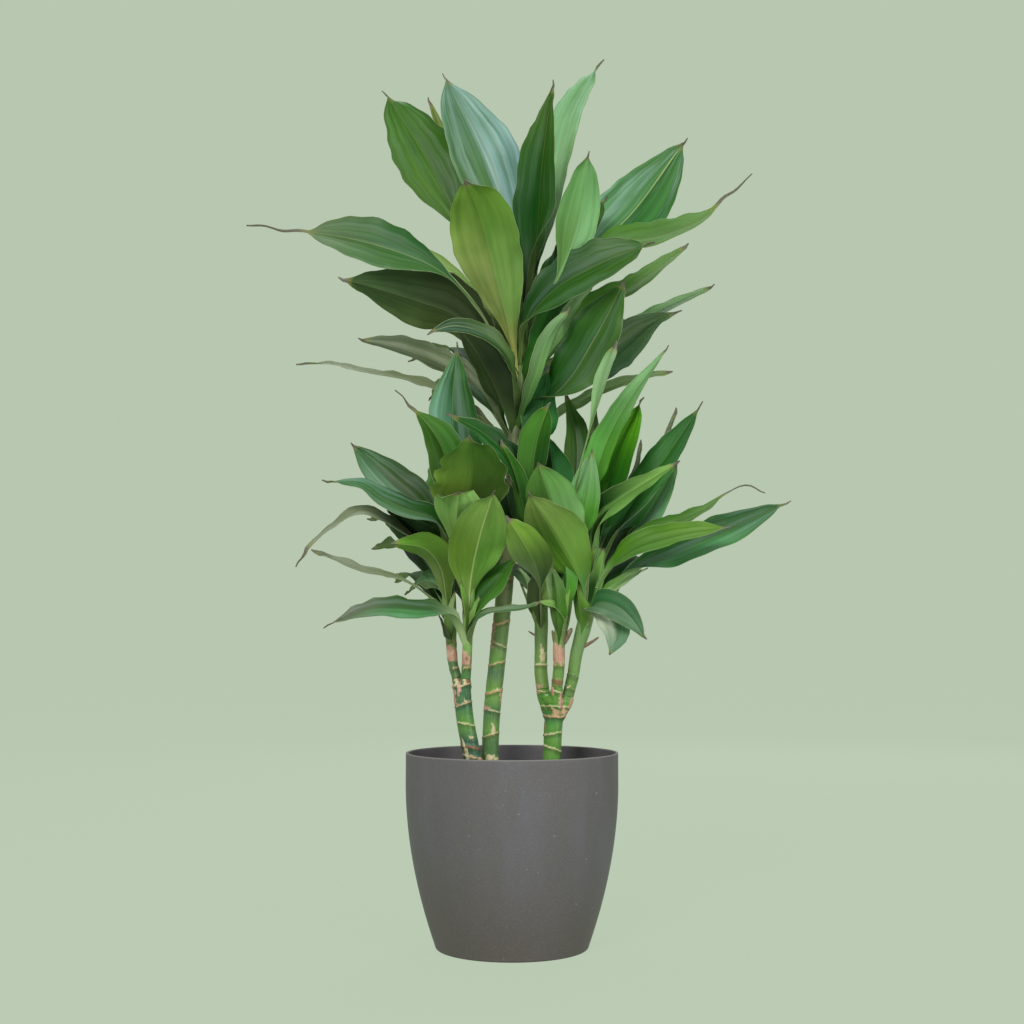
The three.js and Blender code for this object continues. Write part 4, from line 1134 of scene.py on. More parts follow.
# %% The left shoots' rows
FRONT_LEAVES["shoot_left_outer"] = [
    ("slate", 46, 14, 28, 0, 0.55, 0.03, 385, (-88, 432, 2), (-120, 464, -2), (-161, 505, -12)),
    ("emerald", 27, 14, 46, 0, 0.52, 0.05, 382, (-76, 427, 28), (-104, 438, 36), (-131, 450, 38),
        (-151, 463, 40), (-190, 467, 42)),
    ("pitch", 42, 14, 140, 0, 0.58, 0.03, 370, (-86, 408, 10), (-104, 426, 8), (-127, 442, 4)),
    ("meadow", 30, 14, 50, 0, 0.55, 0.03, 362, (-88, 398, -14), (-108, 412, -20), (-128, 428, -26)),
    ("mauve", 19, 14, 60, 0, 0.45, 0.12, 352, (-95, 403, 2), (-125, 427, 10), (-150, 437, 16),
        (-186, 417, 22), (-206, 398, 24), (-214, 380, 26)),
    ("apple", 36, 16, 140, 0.22, 0.64, 0.03, 311, (-66, 352, 14), (-72, 382, 16), (-88, 400, 22),
        (-121, 405, 34)),
    ("mauve", 13, 20, 60, 0.34, 0.6, 0.03, 325, (-80, 348, 8), (-105, 366, 6), (-150, 378, 4),
        (-201, 398, 0)),
    ("lagoon", 34, 16, 50, 0, 0.5, 0.03, 340, (-74, 362, -8), (-88, 366, -14), (-107, 353, -18)),
]
FRONT_LEAVES["shoot_left_inner"] = [
    ("blue_stripe", 56, 16, 18, 0, 0.54, 0.05, 408, (-57, 480, -6), (-60, 545, -8), (-54, 606, -10)),
    ("meadow", 44, 16, 30, 0, 0.62, 0.17, 388, (-60, 450, 18), (-70, 500, 20), (-90, 530, 20),
        (-118, 557, 20)),
    ("ruffle", 72, 12, 176, 0, 0.6, 0.02, 380, (-46, 432, 46), (-40, 476, 84), (-42, 513, 114)),
    ("sunlit", 56, 14, 168, 0.05, 0.58, 0.03, 326, (-41, 368, 32), (-33, 408, 62), (-18, 458, 102)),
    ("pale", 46, 14, 172, 0.25, 0.84, 0.01, 342, (-52, 390, 36), (-55, 425, 60), (-53, 456, 84)),
    ("autumn", 26, 14, 40, 0, 0.5, 0.06, 300, (-64, 331, 38), (-98, 338, 44), (-145, 338, 48),
        (-189, 321, 52)),
    ("parrot", 38, 16, 46, 0, 0.54, 0.03, 306, (-34, 341, 22), (-16, 364, 22), (4, 391, 16)),
    ("night", 28, 16, 50, 0, 0.52, 0.03, 314, (-34, 350, 6), (-22, 372, 6), (-10, 392, 4)),
    ("lagoon", 9, 20, 50, 0, 0.5, 0.03, 302, (-32, 332, 36), (-8, 338, 38), (12, 340, 38), (28, 346, 36)),
]
print("the left shoots have", [len(FRONT_LEAVES[name]) for name in FRONT_LEAVES if "left" in name])

# %% [markdown]
# ## Leaves: the rows of the right shoots
# The right cane carries three. Their leaves cross in front of each other, so the forward places matter most
# here: what lies nearer to the eye has the larger third number.

# %% The right shoots' rows
FRONT_LEAVES["shoot_right_inner"] = [
    ("pitch", 36, 16, 160, 0.06, 0.56, 0.03, 356, (16, 392, 10), (1, 430, 19), (-8, 472, 22)),
    ("lagoon", 14, 20, 50, 0, 0.5, 0.03, 332, (22, 358, -6), (10, 368, 2), (-4, 378, 8)),
    ("olive", 24, 18, 150, 0, 0.55, 0.03, 318, (33, 345, -2), (39, 372, 6), (43, 400, 8)),
    ("brown_lit", 38, 16, 160, 0.34, 0.68, 0.03, 316, (29, 350, 20), (25, 378, 62), (11, 406, 94),
        (-6, 432, 112)),
    ("parrot", 34, 28, 165, 0.1, 0.66, 0.03, 424, (20, 470, 38), (26, 512, 56), (38, 546, 66)),
    ("parrot", 24, 16, 140, 0, 0.5, 0.03, 390, (12, 440, 38), (2, 478, 46), (-12, 508, 50)),
    ("frilled", 32, 16, 46, 0, 0.5, 0.05, 412, (-4, 490, 44), (-28, 514, 52), (-66, 535, 60)),
]
FRONT_LEAVES["shoot_right_middle"] = [
    ("two_greens", 54, 14, 165, 0.05, 0.6, 0.02, 365, (50, 412, 44), (38, 450, 66), (26, 486, 86)),
    ("spring", 34, 16, 170, 0, 0.56, 0.03, 380, (68, 430, 50), (75, 466, 54), (80, 499, 54)),
    ("moss", 30, 18, 26, 0, 0.56, 0.04, 406, (64, 470, -10), (64, 512, -16), (53, 556, -22)),
    ("olive", 18, 18, 30, 0, 0.56, 0.03, 419, (76, 465, -22), (81, 500, -28), (85, 539, -34)),
    ("ribbon", 10, 24, 20, 0.55, 0.82, 0.03, 405, (66, 470, 60), (80, 528, 66), (90, 570, 70),
        (105, 607, 74)),
    ("night", 38, 16, 150, 0, 0.56, 0.03, 400, (44, 440, 16), (41, 480, 18), (35, 515, 16)),
    ("spring", 28, 20, 150, 0, 0.45, 0.03, 390, (78, 455, 36), (95, 508, 38), (118, 550, 30),
        (157, 602, 10)),
]
FRONT_LEAVES["shoot_right_outer"] = [
    ("leaf_green", 56, 14, 165, 0.1, 0.58, 0.03, 334, (70, 362, 26), (48, 404, 58), (16, 456, 106)),
    ("vivid", 50, 16, 35, 0, 0.56, 0.03, 375, (90, 440, 14), (108, 500, 14), (131, 551, 4)),
    ("bottle", 38, 14, 32, 0, 0.56, 0.05, 368, (112, 430, -22), (152, 488, -34), (191, 546, -48)),
    ("blue_strip", 38, 14, 40, 0, 0.6, 0.03, 352, (112, 400, -38), (140, 438, -48), (166, 486, -58)),
    ("chartreuse", 26, 16, 148, 0.15, 0.54, 0.04, 360, (82, 428, 26), (104, 447, 42), (135, 467, 56),
        (168, 487, 62)),
    ("leek", 22, 14, 48, 0.25, 0.56, 0.24, 365, (122, 408, 10), (165, 426, 14), (194, 439, 16),
        (214, 455, 16), (228, 461, 14), (253, 456, 12)),
    ("banana", 30, 14, 42, 0.1, 0.58, 0.03, 345, (98, 378, 44), (122, 400, 58), (168, 414, 68),
        (219, 421, 74)),
    ("teal", 46, 14, 42, 0.15, 0.56, 0.03, 340, (114, 372, 14), (160, 393, 22), (215, 416, 28),
        (279, 447, 32)),
    ("pale_wave", 18, 16, 50, 0, 0.5, 0.03, 330, (98, 356, 26), (115, 369, 30), (136, 380, 34)),
    ("sea", 28, 14, 20, 0.05, 0.52, 0.03, 322, (86, 345, 44), (107, 340, 56), (123, 325, 64),
        (134, 308, 70)),
    ("faded", 32, 14, 22, 0, 0.55, 0.03, 318, (86, 336, 28), (98, 330, 38), (104, 313, 48), (97, 293, 54)),
    ("mauve", 10, 16, 50, 0, 0.5, 0.03, 395, (112, 450, -50), (126, 485, -54), (129, 508, -56)),
    ("mauve", 14, 16, 50, 0, 0.5, 0.03, 380, (125, 450, -70), (150, 500, -74), (165, 540, -76)),
]
print("the right shoots have", [len(FRONT_LEAVES[name]) for name in FRONT_LEAVES if "right" in name])

# %% [markdown]
# ## Leaves: the rows of the far side
# The leaves that look away from the front need no outline of their own, only a full and natural plant.
# Their rows are shorter: tone, root height, bearing (90 is straight back), rise, length, width. The sheaths
# are short leaf feet that clasp the shoots under the fan, and they are rows like those of the leaves in
# front.

# %% The far side's rows, and the sheaths
BACK_LEAVES = {
    "crown_tall": [
        ("meadow", 503, 118, 26, 230, 42), ("fern", 511, 70, 28, 235, 44), ("deep", 520, 95, 30, 240, 46),
        ("moss", 531, 128, 30, 220, 42), ("teal", 541, 50, 36, 245, 46), ("leek", 552, 108, 40, 255, 52),
        ("bottle", 562, 78, 44, 255, 50), ("olive", 571, 112, 48, 240, 48), ("vivid", 583, 56, 46, 240, 46),
        ("ivy", 595, 94, 50, 265, 56), ("moss", 604, 112, 61, 260, 50), ("parrot", 617, 84, 68, 255, 50),
    ],
    "shoot_left_outer": [
        ("meadow", 325, 118, 24, 150, 30), ("fern", 334, 130, 34, 160, 32), ("deep", 347, 104, 32, 160, 34),
        ("moss", 356, 130, 36, 170, 36), ("teal", 372, 116, 48, 165, 38), ("leek", 386, 96, 58, 160, 34),
    ],
    "shoot_left_inner": [
        ("meadow", 326, 100, 24, 150, 32), ("fern", 345, 88, 36, 160, 36), ("deep", 362, 78, 42, 165, 38),
        ("moss", 388, 80, 52, 160, 36),
    ],
    "shoot_right_inner": [
        ("meadow", 330, 104, 28, 150, 30), ("fern", 350, 114, 34, 150, 32), ("deep", 368, 98, 42, 160, 34),
        ("moss", 395, 92, 56, 150, 32),
    ],
    "shoot_right_middle": [
        ("meadow", 350, 84, 32, 150, 32), ("fern", 372, 90, 46, 160, 36), ("deep", 392, 98, 58, 150, 34),
    ],
    "shoot_right_outer": [
        ("meadow", 320, 72, 22, 150, 30), ("fern", 332, 44, 30, 140, 30), ("deep", 342, 90, 32, 160, 34),
        ("moss", 352, 58, 40, 150, 32), ("teal", 374, 76, 50, 160, 36), ("leek", 390, 62, 60, 150, 32),
    ],
}
SHEATHS = {
    "shoot_left_outer": [
        ("mauve", 9, 40, 30, 0.0, 0.4, 0.2, 300, (-68, 318, 12), (-73, 334, 12)),
        ("olive", 12, 40, 150, 0.0, 0.45, 0.05, 306, (-60, 330, 18), (-57, 356, 22)),
    ],
    "shoot_left_inner": [
        ("pale", 13, 44, 160, 0.0, 0.4, 0.03, 302, (-40, 322, 28), (-33, 352, 34)),
        ("apple", 12, 44, 150, 0.0, 0.4, 0.03, 310, (-47, 334, 30), (-52, 366, 34)),
    ],
    "shoot_right_inner": [
        ("walnut", 24, 36, 160, 0.0, 0.5, 0.04, 316, (26, 342, 8), (29, 366, 12), (30, 396, 14)),
        ("lagoon", 7, 40, 80, 0.0, 0.4, 0.1, 318, (20, 334, -2), (14, 350, 0), (8, 366, 2)),
        ("pale_wave", 9, 40, 60, 0.0, 0.5, 0.1, 336, (18, 356, 2), (12, 372, 4), (2, 384, 6)),
    ],
    "shoot_right_middle": [
        ("leek", 24, 40, 165, 0.0, 0.5, 0.03, 300, (46, 328, 30), (45, 352, 34), (40, 382, 38)),
        ("brown_lit", 15, 44, 150, 0.0, 0.4, 0.04, 302, (54, 324, 26), (56, 342, 28), (58, 362, 30)),
        ("olive", 24, 36, 160, 0.0, 0.5, 0.03, 318, (40, 340, 26), (34, 366, 34), (31, 400, 40)),
        ("spring", 18, 36, 150, 0.0, 0.5, 0.03, 330, (54, 352, 28), (55, 374, 34), (50, 400, 40)),
        ("pale", 9, 30, 60, 0.0, 0.5, 0.05, 316, (50, 330, 26), (42, 342, 30), (26, 346, 34)),
        ("bottle", 20, 30, 150, 0.0, 0.5, 0.03, 336, (44, 364, 18), (42, 388, 20), (44, 412, 22)),
    ],
    "shoot_right_outer": [
        ("leaf_green", 22, 40, 160, 0.0, 0.45, 0.04, 304, (70, 328, 16), (66, 352, 22), (62, 380, 26)),
        ("chartreuse", 20, 34, 150, 0.0, 0.5, 0.03, 322, (82, 348, 20), (88, 372, 28), (92, 400, 30)),
        ("brown_lit", 13, 40, 150, 0.0, 0.5, 0.04, 330, (76, 356, 22), (78, 378, 28), (84, 402, 30)),
    ],
}
print(sum(map(len, BACK_LEAVES.values())), "leaves behind,", sum(map(len, SHEATHS.values())), "sheaths")

# %% [markdown]
# ## Leaves: how one lies
# A leaf leaves its stem upright and folded like a gutter, opens, and turns on its rib to face the light. So
# at each step along the rib we need three directions: along it, across the blade, and out of its upper
# face. They start from the way the leaf would lie untwisted and are then rolled, smoothly, until it faces
# the eye as its row says.

# %% Frames along a rib
BACK_LIFT = 14  # a leaf of the far side leaves its stem this much steeper than its rise, in degrees
BACK_DROOP = 32  # and its end lies this much lower
ROOT_OFFSET = 0.55  # how far from the shoot's middle a leaf starts, as a share of the shoot's radius


def natural_frame(rib, shares):
    bearing = rib.at(1.0) - rib.at(0.0)
    level = unit(np.array([-bearing[1], bearing[0], 0.0]))
    along = rib.along(shares)
    side = unit(level - along * (along @ level)[..., None])
    return along, side, np.cross(along, side)


def turn_to_face(rib, facing, widest):
    """The roll, in degrees, that shows the eye the face that the row asks for."""
    along, _, face = natural_frame(rib, widest)
    eye = EYE - rib.at(widest)
    eye = unit(eye - along * (eye @ along))
    lie = math.degrees(math.atan2(np.cross(eye, face) @ along, eye @ face))
    turn = (-facing if lie < 0 else facing) - lie
    return (turn + 180) % 360 - 180


def rolled(vectors, along, angles):
    angles = angles[:, None]
    return vectors * np.cos(angles) + np.cross(along, vectors) * np.sin(angles)


def root_point(name, shoot, height, towards):
    """Where a leaf starts: inside the shoot at a height, on the side that the leaf grows to."""
    centre = shoot.at(shoot.share_at_height(height))
    outward = unit((np.array(towards) - centre) * (1, 1, 0))
    return centre + outward * ROOT_OFFSET * SHOOT_RADII[name][1]


def arched_rib(root, outward, rise, length):
    points = [root]
    for slope in (rise + BACK_LIFT, rise, rise - BACK_DROOP):
        angle = math.radians(slope)
        step = outward * math.cos(angle) + np.array([0, 0, math.sin(angle)])
        points.append(points[-1] + step * length / 3)
    return points


test_rib = Curve(arched_rib(np.zeros(3), np.array([0, 1.0, 0]), 40, 150))
print("an arched rib ends", np.round(test_rib.at(1.0), 1), "mm from its root")

# %% [markdown]
# ## Leaves: the outline
# Seen flat, a leaf is a slim stalk that widens into a blade with its broadest place near the middle, and
# ends in a long drawn-out tip. One formula gives half its width at every share of its length. The grid of a
# blade has more rows on a long leaf and more columns on a wide one, and its columns crowd a little towards
# the margins.

# %% The outline of a blade
PETIOLE_HALF = 4.6  # half the width of the stalk at its foot
TAIL_HALF = 1.5  # half the width of a dried tip where it leaves the blade
TIP_HALF = 0.6
FULLNESS = 2.7  # a lower one fills the blade out towards its ends
ROW_SPACING = 5.0
ROW_COUNTS = (16, 64)  # fewest and most
COLUMN_SPACING = 1.9
HALF_COLUMN_COUNTS = (4, 17)
CROWDING = 0.94


def half_width(t, shape):
    widest, dry = shape["widest"], shape["dry"]
    s = np.clip(t / (1 - dry), 0, 1)
    below = widest * np.clip((s - shape["stalk"]) / (widest - shape["stalk"]), 0, 1)
    b = np.where(s < widest, below, s)
    lobe = (b / widest) ** (FULLNESS * widest) * ((1 - b) / (1 - widest)) ** (FULLNESS * (1 - widest))
    tail = np.clip((1 - t) / dry, 0, 1) * smoothstep(t, 0.5, 0.9)
    return shape["width"] / 2 * lobe + PETIOLE_HALF * (1 - s) ** 4 + TAIL_HALF * tail + TIP_HALF


def blade_grid(rib, width):
    """Shares t along the leaf, and shares q across it from -1 at the left margin to 1 at the right."""
    rows = int(np.clip(rib.length / ROW_SPACING, *ROW_COUNTS))
    columns = 2 * int(np.clip(width / 2 / COLUMN_SPACING, *HALF_COLUMN_COUNTS)) + 1
    q = np.linspace(-1, 1, columns)
    return np.linspace(0, 1, rows), np.sign(q) * np.abs(q) ** CROWDING


test_shape = {"width": 50, "fold": 14, "stalk": 0.05, "widest": 0.57, "dry": 0.04}
print("a leaf 50 mm wide has these half widths:", half_width(np.linspace(0, 1, 6), test_shape).round(1))

# %% [markdown]
# ## Leaves: roll, curl and sway
# No leaf is straight. It rolls towards the light over its lower half, its two halves stand in a V that is
# narrow at the stalk and opens further on, one half lies a little higher than the other, and where the tip
# has dried it curls and wavers. `wander` is the random line behind most of this: a few sine waves of random
# size and phase.

# %% How a blade lies
ROLL_END = 0.45  # the share of its length by which a leaf has rolled
CHANNEL_ANGLE = 66  # how steep the halves of the stalk stand, in degrees
OPENING = (0.04, 0.42)  # where along the leaf its gutter opens
UNEVEN_LIFT = 7  # degrees by which one half of a blade lies higher than the other
UNEVEN_WAVES = 0.7  # along the whole leaf
TIP_CURL = (0.6, 1.8)  # in radians
TAIL_SWAY = 0.045  # how far a dried tip bends to and fro, as a share of its length
LEAST_SWAY = 0.6
SWAY_WAVES = (1.2, 0.9)  # sideways and upwards, along the dried tip


def wander(draw, t, waves):
    """A smooth random line, about -1 to 1."""
    line = 0
    for k in (1, 2, 3):
        line = line + draw.uniform(0.4, 1) / k * np.sin(math.tau * (k * waves * t + draw.uniform()))
    return line / 1.4


def lie_of_blade(rib, turn, t, dry, draw):
    """Directions across the blade and out of its upper face, at each row."""
    along, side, face = natural_frame(rib, t)
    roll = math.radians(turn) * smoothstep(t, 0, ROLL_END)
    roll = roll + draw.uniform(*TIP_CURL) * draw.choice([-1, 1]) * smoothstep(t, 1 - dry - 0.08, 1.0)
    return rolled(side, along, roll), rolled(face, along, roll)


def lift_of_halves(t, q, fold, draw):
    """The angle by which each half stands up from flat."""
    uneven = math.radians(UNEVEN_LIFT) * wander(draw, t, UNEVEN_WAVES)[:, None] * np.sign(q)
    return np.radians(blend(CHANNEL_ANGLE, fold, smoothstep(t, *OPENING)))[:, None] + uneven


def swaying_rib(rib, t, side, face, dry, tail, draw):
    reach = (TAIL_SWAY * dry * rib.length + LEAST_SWAY) * tail
    sideways, upwards = [reach * np.sin(math.tau * (waves * tail + draw.uniform())) for waves in SWAY_WAVES]
    return rib.at(t) + side * sideways[:, None] + face * upwards[:, None]


print("a leaf has rolled by", ROLL_END, "of its length, and its gutter opens by", OPENING[1])

# %% [markdown]
# ## Leaves: margins and relief
# From the middle outwards a half of a blade arches softly, carries narrow pleats along its veins, and ends
# in a margin that waves, puckers and crimps. All of these are formulas of the two shares, t along the leaf
# and q across it. Both margins are drawn apart: `hand` is the phase that tells the left one from the right.

# %% Margins and relief
WAVE_DEPTH = 0.045  # the long waves of the margin, as a share of the width
WAVE_COUNTS = (2.1, 3.0)
PUCKER_LENGTH = 34.0
PUCKER_DEPTH = 0.8
FRILL_LENGTH = 25.0
FRILL_DEPTH = 0.9
FRILL_SPREAD = 0.8  # how much a frill also moves the outline
RUN_DRIFT = 6  # how far the puckers and frills stray from even spacing, in millimetres
RUN_WAVES = 2.0
EDGE_WANDER = 0.035  # how far a margin strays from its smooth line, as a share of the width
EDGE_WAVES = 1.6
TORN_EDGE = 0.35  # how far that of a dried tip does
TORN_WAVES = 5
HAND_SHIFT = 0.4  # how far the waves of both margins are out of step
PLEAT_COUNTS = (2, 3, 5)
PLEAT_DEPTH = 0.2
ARCH = 0.055  # the height of a half's arch, as a share of its width
ARCH_SPREAD = (0.4, 1.3)


def frill_lines(rib, t, q, draw):
    """The waves that run along both margins: their phase, the frill, and the longer pucker."""
    run = t[:, None] * rib.length + RUN_DRIFT * wander(draw, t, RUN_WAVES)[:, None]
    hand = np.where(q < 0, draw.uniform(0, 6), draw.uniform(0, 6))
    frill = np.sin(math.tau * run / FRILL_LENGTH + 2 * hand)
    return hand, frill, np.sin(math.tau * run / PUCKER_LENGTH + hand)


def edge_of_blade(t, q, smooth_half, open_blade, tail, frill, draw):
    """Half the width at each point, with both margins straying from their smooth line."""
    left, right = [wander(draw, t, EDGE_WAVES)[:, None] for _ in range(2)]
    stray = np.where(q < 0, left, right) + FRILL_SPREAD * frill
    torn = TORN_EDGE * tail * wander(draw, t, TORN_WAVES)
    return smooth_half[:, None] * (1 + 2 * EDGE_WANDER * stray * open_blade + torn[:, None])


def margin_wave(t, q, width, phase):
    swing = np.sin(math.tau * (blend(*WAVE_COUNTS, phase) * t[:, None] + phase + HAND_SHIFT * np.sign(q)))
    return WAVE_DEPTH * width * np.sin(math.pi * t)[:, None] * swing * np.abs(q) ** 1.7


def pleats(q, hand, draw):
    q = np.abs(q)
    folds = 0
    for k in PLEAT_COUNTS:
        folds = folds + draw.uniform(0.3, 1) * np.cos(math.tau * k * q + draw.uniform(0, 6) + hand)
    return folds * (1 - q**6) * np.clip(q * 6, 0, 1)


print("margins pucker every", PUCKER_LENGTH, "mm and frill every", FRILL_LENGTH, "mm")

# %% [markdown]
# ## Leaves: the blade
# Now the middle sheet of a blade can be laid: from each point of the rib out along the lifted half, then up
# by the waves and the relief. Its thickness comes last. The blade is a closed thin shell with a groove over
# its midrib and a keel below, and it thins towards the margin to a third of a millimetre.

# %% The sheet and its thickness
BLADE_THICKNESS = 0.75
MARGIN_THICKNESS = 0.3
RIB_WIDTH = 1.3
KEEL_DEPTH = 0.45
GROOVE_DEPTH = 0.2
FULL_RELIEF_HALF = 8  # where half the blade is narrower than this, its relief is weaker
RELIEF_START = (0.08, 0.3)


def blade_sheet(rib, turn, phase, tone, shape, draw):
    """The middle sheet of a blade and what its points know, as arrays of rows by columns."""
    stripes, frill = TONES[tone][STRIPES], TONES[tone][FRILL]
    dry = shape["dry"]
    t, q = blade_grid(rib, shape["width"])
    tail = smoothstep(t, 1 - dry - 0.02, 1)
    side, face = lie_of_blade(rib, turn, t, dry, draw)
    lift = lift_of_halves(t, q, shape["fold"], draw)
    middle = swaying_rib(rib, t, side, face, dry, tail, draw)
    smooth_half = half_width(t, shape)
    open_blade = (np.clip(smooth_half / FULL_RELIEF_HALF, 0, 1) * smoothstep(t, *RELIEF_START))[:, None]
    hand, frill_line, pucker_line = frill_lines(rib, t, q, draw)
    half = edge_of_blade(t, q, smooth_half, open_blade, tail, frill * frill_line, draw)
    pleat = pleats(q, hand, draw)
    arch = ARCH * half * np.sin(math.pi * np.abs(q)) * draw.uniform(*ARCH_SPREAD)
    ripple = PUCKER_DEPTH * (0.5 + 0.5 * frill) * pucker_line * np.abs(q) ** 3.5
    ripple += FRILL_DEPTH * frill * frill_line * np.abs(q) ** 6
    ripple += PLEAT_DEPTH * (0.5 + stripes) * pleat
    reach = np.abs(q) * half
    out = np.sign(q) * reach * np.cos(lift)
    rise = reach * np.sin(lift) + margin_wave(t, q, shape["width"], phase) + arch + open_blade * ripple
    sheet = middle[:, None] + side[:, None] * out[..., None] + face[:, None] * rise[..., None]
    return sheet, face, {"t": t, "q": q, "half": half, "pleat": pleat * open_blade}


def leaf_rings(sheet, face, known):
    """Gives the sheet its thickness: under side from left to right, then the upper side back."""
    q = known["q"]
    near_rib = np.exp(-((np.abs(q) * known["half"] / RIB_WIDTH) ** 2))
    thick = blend(BLADE_THICKNESS, MARGIN_THICKNESS, np.abs(q) ** 3)
    normals = np.cross(np.gradient(sheet, axis=0), np.gradient(sheet, axis=1))
    normals = unit(normals + TINY)
    normals *= np.sign((normals * face[:, None]).sum(-1, keepdims=True) + TINY)
    upper = sheet + normals * (thick / 2 - GROOVE_DEPTH * near_rib)[..., None]
    under = sheet - normals * (thick / 2 + KEEL_DEPTH * near_rib)[..., None]
    return np.concatenate([under, upper[:, ::-1]], axis=1)


test_draw = np.random.default_rng(1)
test_sheet = blade_sheet(test_rib, 20, 0.3, "fern", test_shape, test_draw)[0]
print("a leaf 150 mm long has", test_sheet.shape[0], "rows of", test_sheet.shape[1], "points")

# %% [markdown]
# ## Leaves: what each point knows
# The finish will need to know how far each point is from the midrib and the margin, how far along the leaf
# it lies, which face it is on, how dry it is, and its tone. Big soft changes of tone, such as a paler foot
# or a dark foot that is painted shade deep in the crown, are worked out here. Small ones, such as veins,
# are left to the shader.

# %% Painting a leaf
UNDER_PALE = np.array(tint(150, 168, 104))
UPPER_DARK = np.array(tint(24, 74, 26))
RIB_BLUR = 2.5  # the millimetres on both sides of the rib over which the left tone turns into the right one
FOOT_FADE = (0.08, 0.36)
END_FADE = (0.5, 0.9)
END_STRENGTH = 0.8
HIDDEN_PALER = 0.35  # how far the face turned away from the front leans to the pale or the dark green
HIDDEN_DARKER = 0.5
WITHER_AHEAD = 0.035  # the withering starts this far before the dried tip, as a share of the leaf's length
PAINT_SEED = 5000


def both_faces(values):
    """Values of the sheet's points, laid out as its rings are: under side, then the upper side back."""
    return np.concatenate([values, values[:, ::-1]], axis=1)


# The foot, halves and end can carry painted light: a dark foot is painted shade deep in the crown, a paler
# half paints a fold lit on one side, and on waxy leaves a pale blue half paints the sheen.
def shown_tone(colours, share, across):
    foot, left, right, end = [np.array(tint(*colour)) for colour in colours]
    shown = blend(left, right, smoothstep(across, -RIB_BLUR, RIB_BLUR)[..., None])
    shown = blend(shown, end, (END_STRENGTH * smoothstep(share, *END_FADE))[..., None])
    return blend(foot, shown, smoothstep(share, *FOOT_FADE)[..., None])


def leaf_values(tone, rib, shape, shows_upper, known, seed):
    draw = np.random.default_rng(seed + PAINT_SEED)
    width, dry = shape["width"], shape["dry"]
    t, q = known["t"], known["q"]
    half = both_faces(known["half"])
    ring_q = both_faces(q[None].repeat(len(t), 0))
    share = t[:, None].repeat(2 * len(q), 1)
    upper = np.repeat([0.0, 1.0], len(q))[None].repeat(len(t), 0)
    shown = shown_tone(TONES[tone][:4], share, ring_q * half)
    hidden = blend(shown, *((UNDER_PALE, HIDDEN_PALER) if shows_upper else (UPPER_DARK, HIDDEN_DARKER)))
    colour = blend(hidden, shown, (upper if shows_upper else 1 - upper)[..., None])
    colour[..., 3] = 1
    return {
        "tone": colour,
        "across": ring_q * width / 2,
        "along": share * rib.length,
        "share": share,
        "rim": (1 - np.abs(ring_q)) * half,
        "midrib": np.abs(ring_q) * half,
        "upper": upper,
        "pleat": both_faces(known["pleat"]),
        "dry": smoothstep(share, 1 - dry - WITHER_AHEAD, 1 - dry * 0.6),
        "seed": float(draw.uniform()),
        "ribline": TONES[tone][MIDRIB],
        "stripes": TONES[tone][STRIPES],
        # the gloss of the wax, and the strength of its painted bluish sheen
        "wax_and_painted_sheen": TONES[tone][WAX_AND_PAINTED_SHEEN],
    }


print("tones fade in from the foot over", FOOT_FADE, "and into the end over", END_FADE)

# %% [markdown]
# ## Leaf finish
# The wax makes a dracaena leaf: a clear gloss over a green that is drawn out in long parallel veins. The
# veins are noise that is stretched along the leaf: coarse streaks for the light and dark bands, fine ones
# for the veins themselves. They are laid out by the leaf's own two measures, so they follow its every bend
# and meet at its tip. Some of the light is painted in as well: a bluish sheen on the upper face of waxy
# leaves is a painted reflection, the crests of the pleats are painted lighter as a painted highlight, and
# the pale bands and lines are partly the leaf's own streaks and partly painted highlight. Over that come
# the pale midrib and the hair-thin pale margin, and at the end the tip has dried to a grey brown.

# %% Leaf finish
SHADE = (0.5, 0.62, 0.4, 1.0)  # what a tone is multiplied by where it is darker
LIGHT = (1.55, 1.4, 1.6, 1.0)
# Painted reflection: the bluish sheen that waxy upper faces show.
PAINTED_SHEEN_BLUE = tint(172, 200, 200)
RIB_PALE = tint(190, 202, 136)
RIM_PALE = tint(176, 188, 144)
WITHER_YELLOW = tint(130, 130, 70)
DRY_GREY = tint(130, 130, 114)
DRY_BROWN = tint(78, 72, 58)
SEED_SPREAD = 90  # how far apart the leaves lie in the noises
# Each noise: its waves for a millimetre across and along the leaf, its layer, and its detail.
LEAF_NOISES = {
    "bands": (0.2, 0.004, 0, 2), "lines": (0.55, 0.005, 3, 1), "veins": (1.6, 0.012, 7, 3),
    "blotch": (0.05, 0.022, 13, 3), "sheen": (0.14, 0.01, 23, 2),
}


